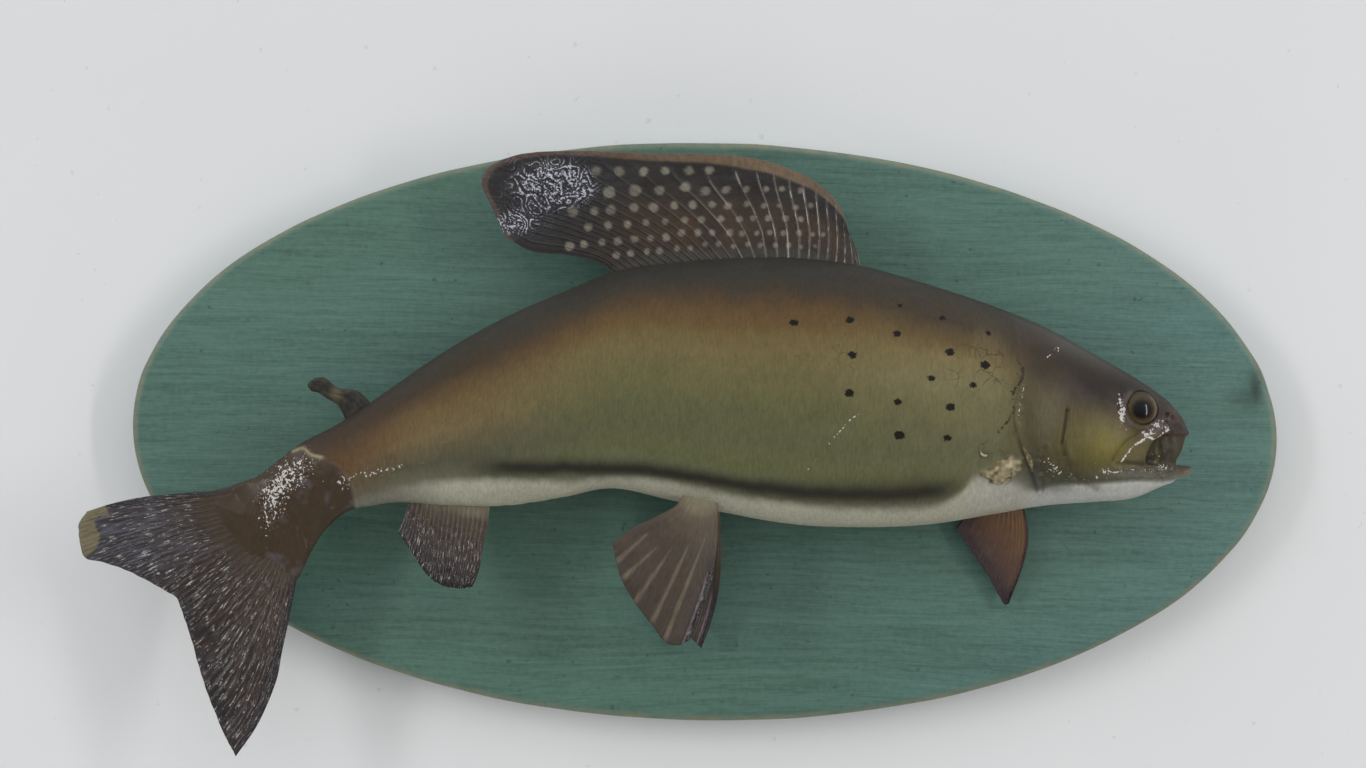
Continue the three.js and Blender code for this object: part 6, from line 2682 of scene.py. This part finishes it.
@dataclass(frozen=True)
class Room:
    """The wall and floor behind the mount, the lights and the camera."""

    floor_drop: float = 1.3
    see_through: float = 0.004
    sky_heights: Span = (-0.3, 0.8)
    sky_strengths: Span = (0.36, 1.17)
    camera_place: Point = (-0.009, -0.919, 0.019)
    camera_roll: float = 0.9
    lens: float = 59.4

    def build(self) -> None:
        """Makes the wall, the floor, the lights, the world and the camera."""
        self._wall()
        self._lights()
        self._camera()

    def _wall(self) -> None:
        """A painted wall that can be seen through from behind, and a pale floor far below."""
        graph = Graph("wall_paint")
        cloud = graph.noise(graph.place(), 3.0, 3)
        marks = graph.noise(graph.place((90, 1, 90)), 1.0, 4, 0.7)
        cloud = graph.remap(cloud, (0.3, 0.7), (0.0, 1.0))
        colour = graph.blend(cloud, rgba(WALL_WHITE * 0.94), rgba(WALL_WHITE))
        speck = graph.remap(marks, (0.70, 0.78), (0.0, 0.4))
        smear = graph.remap(graph.noise(graph.place((14, 1, 2.5)), 1.0, 3, 0.6), (0.3, 0.7), (0.0, 0.5))
        dust = graph.remap(graph.noise(graph.place(), 210.0, 2), (0.735, 0.76), (0.0, 0.3))
        for share, tone in ((smear, 0.95), (dust, 0.6), (speck, 0.55)):
            colour = graph.blend(share, colour, rgba(WALL_WHITE * tone))
        graph.set(Base_Color=colour, Roughness=0.85)
        close = graph.math("LESS_THAN", graph.add("LightPath").outputs["Ray Length"], self.see_through)
        behind = graph.most(graph.add("NewGeometry").outputs["Backfacing"], close)
        clear = graph.add("BsdfTransparent")
        both = graph.add("MixShader", {0: behind})
        graph.tree.links.new(graph.shader.outputs[0], both.inputs[1])
        graph.tree.links.new(clear.outputs[0], both.inputs[2])
        graph.tree.links.new(both.outputs[0], graph.output.inputs["Surface"])
        wall = self._sheet("wall", [(-3000, 1, -1300), (3000, 1, -1300), (3000, 1, 1700), (-3000, 1, 1700)])
        wall.data.materials.append(graph.material)
        floor_graph = Graph("floor_paint")
        floor_graph.set(Base_Color=rgba(tint(190, 188, 184)), Roughness=0.7)
        low = -self.floor_drop / MM
        floor = self._sheet("floor", [(-3000, -3000, low), (3000, -3000, low), (3000, 1, low), (-3000, 1, low)])
        floor.data.materials.append(floor_graph.material)

    def _sheet(self, name: str, corners: Sequence[Point]) -> Piece:
        """One flat face."""
        return new_object(name, np.array(corners, float), [np.array([[0, 1, 2, 3]])])

    def _lights(self) -> None:
        """The lamps and the soft light of the room, which is stronger from above."""
        warm, cool = (1.0, 0.985, 0.96), (0.98, 0.99, 1.0)
        self._lamp("right_light", (1.45, -1.45, 0.22), (0.0, 0.0, 0.0), (0.10, 1.30), 9.5, warm)
        self._lamp("left_light", (-1.45, -1.45, 0.40), (0.0, 0.0, 0.0), (0.30, 1.10), 8.5, cool)
        self._lamp("back_fill", (-0.4, 1.6, 0.9), (0.0, 0.0, 0.0), (1.2, 1.0), 12.0, (1.0, 1.0, 1.0))
        world = bpy.data.worlds.new("room")
        world.use_nodes = True
        background = world.node_tree.nodes["Background"]
        background.inputs["Color"].default_value = (0.93, 0.97, 1.0, 1.0)
        tree = world.node_tree
        split, rise = tree.nodes.new("ShaderNodeSeparateXYZ"), tree.nodes.new("ShaderNodeMapRange")
        for number, value in enumerate(self.sky_heights + self.sky_strengths):
            rise.inputs[1 + number].default_value = value
        tree.links.new(tree.nodes.new("ShaderNodeTexCoord").outputs["Generated"], split.inputs[0])
        tree.links.new(split.outputs["Z"], rise.inputs[0])
        tree.links.new(rise.outputs[0], background.inputs["Strength"])
        bpy.context.scene.world = world

    def _lamp(self, name: str, place: Point, aim: Point, size: tuple[float, float], energy: float,
              colour: Point) -> None:
        """One area light, turned towards a point.

        Args:
            name: the light's name.
            place, aim: metres.
            size: its width and height in metres.
            energy: watts.
            colour: red, green and blue.
        """
        data = bpy.data.lights.new(name, "AREA")
        data.shape, data.size, data.size_y = "RECTANGLE", size[0], size[1]
        data.energy, data.color = energy, colour
        lamp = bpy.data.objects.new(name, data)
        lamp.location = place
        lamp.rotation_euler = (Vector(aim) - Vector(place)).to_track_quat("-Z", "Y").to_euler()
        bpy.context.scene.collection.objects.link(lamp)

    def _camera(self) -> None:
        """The camera, level with the mount and rolled a little."""
        roll = math.radians(self.camera_roll)
        data = bpy.data.cameras.new("camera")
        data.lens, data.sensor_width = self.lens, 36.0
        camera = bpy.data.objects.new("camera", data)
        c, s = math.cos(roll), math.sin(roll)
        x, y, z = self.camera_place
        camera.matrix_world = Matrix(((c, -s, 0, x), (0, 0, -1, y), (s, c, 0, z), (0, 0, 0, 1)))
        bpy.context.scene.collection.objects.link(camera)
        bpy.context.scene.camera = camera


def dress_fixings() -> None:
    """Gives the kept steel and wooden parts their finishes."""
    steel = ("hanger_plate", "hanger_screw_left", "hanger_screw_right", "fish_screw_front", "fish_screw_rear")
    for names, finish in ((steel, Finish.STEEL), (("stand_off_front", "stand_off_rear"), Finish.DISC)):
        for name in names:
            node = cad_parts[name]
            node.data.materials.clear()
            node.data.materials.append(finish.material())


def main() -> None:
    """Builds the mount piece by piece."""
    logging.basicConfig(level=logging.INFO, format="%(message)s")
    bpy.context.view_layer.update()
    bpy.context.scene.view_settings.view_transform = "Standard"
    body = Body()
    markings = Markings(body)
    eyes = tuple(Eye(side, body) for side in (1, -1))
    Plaque().build()
    log.info("plaque built")
    Skin(body, markings, eyes).build()
    for eye in eyes:
        eye.build()
    for side in (1, -1):
        Scales(Flank(body, side), markings).build()
    for fin in make_fins():
        fin.build(body)
    dress_fixings()
    Room().build()


if __name__ == "__main__":
    main()
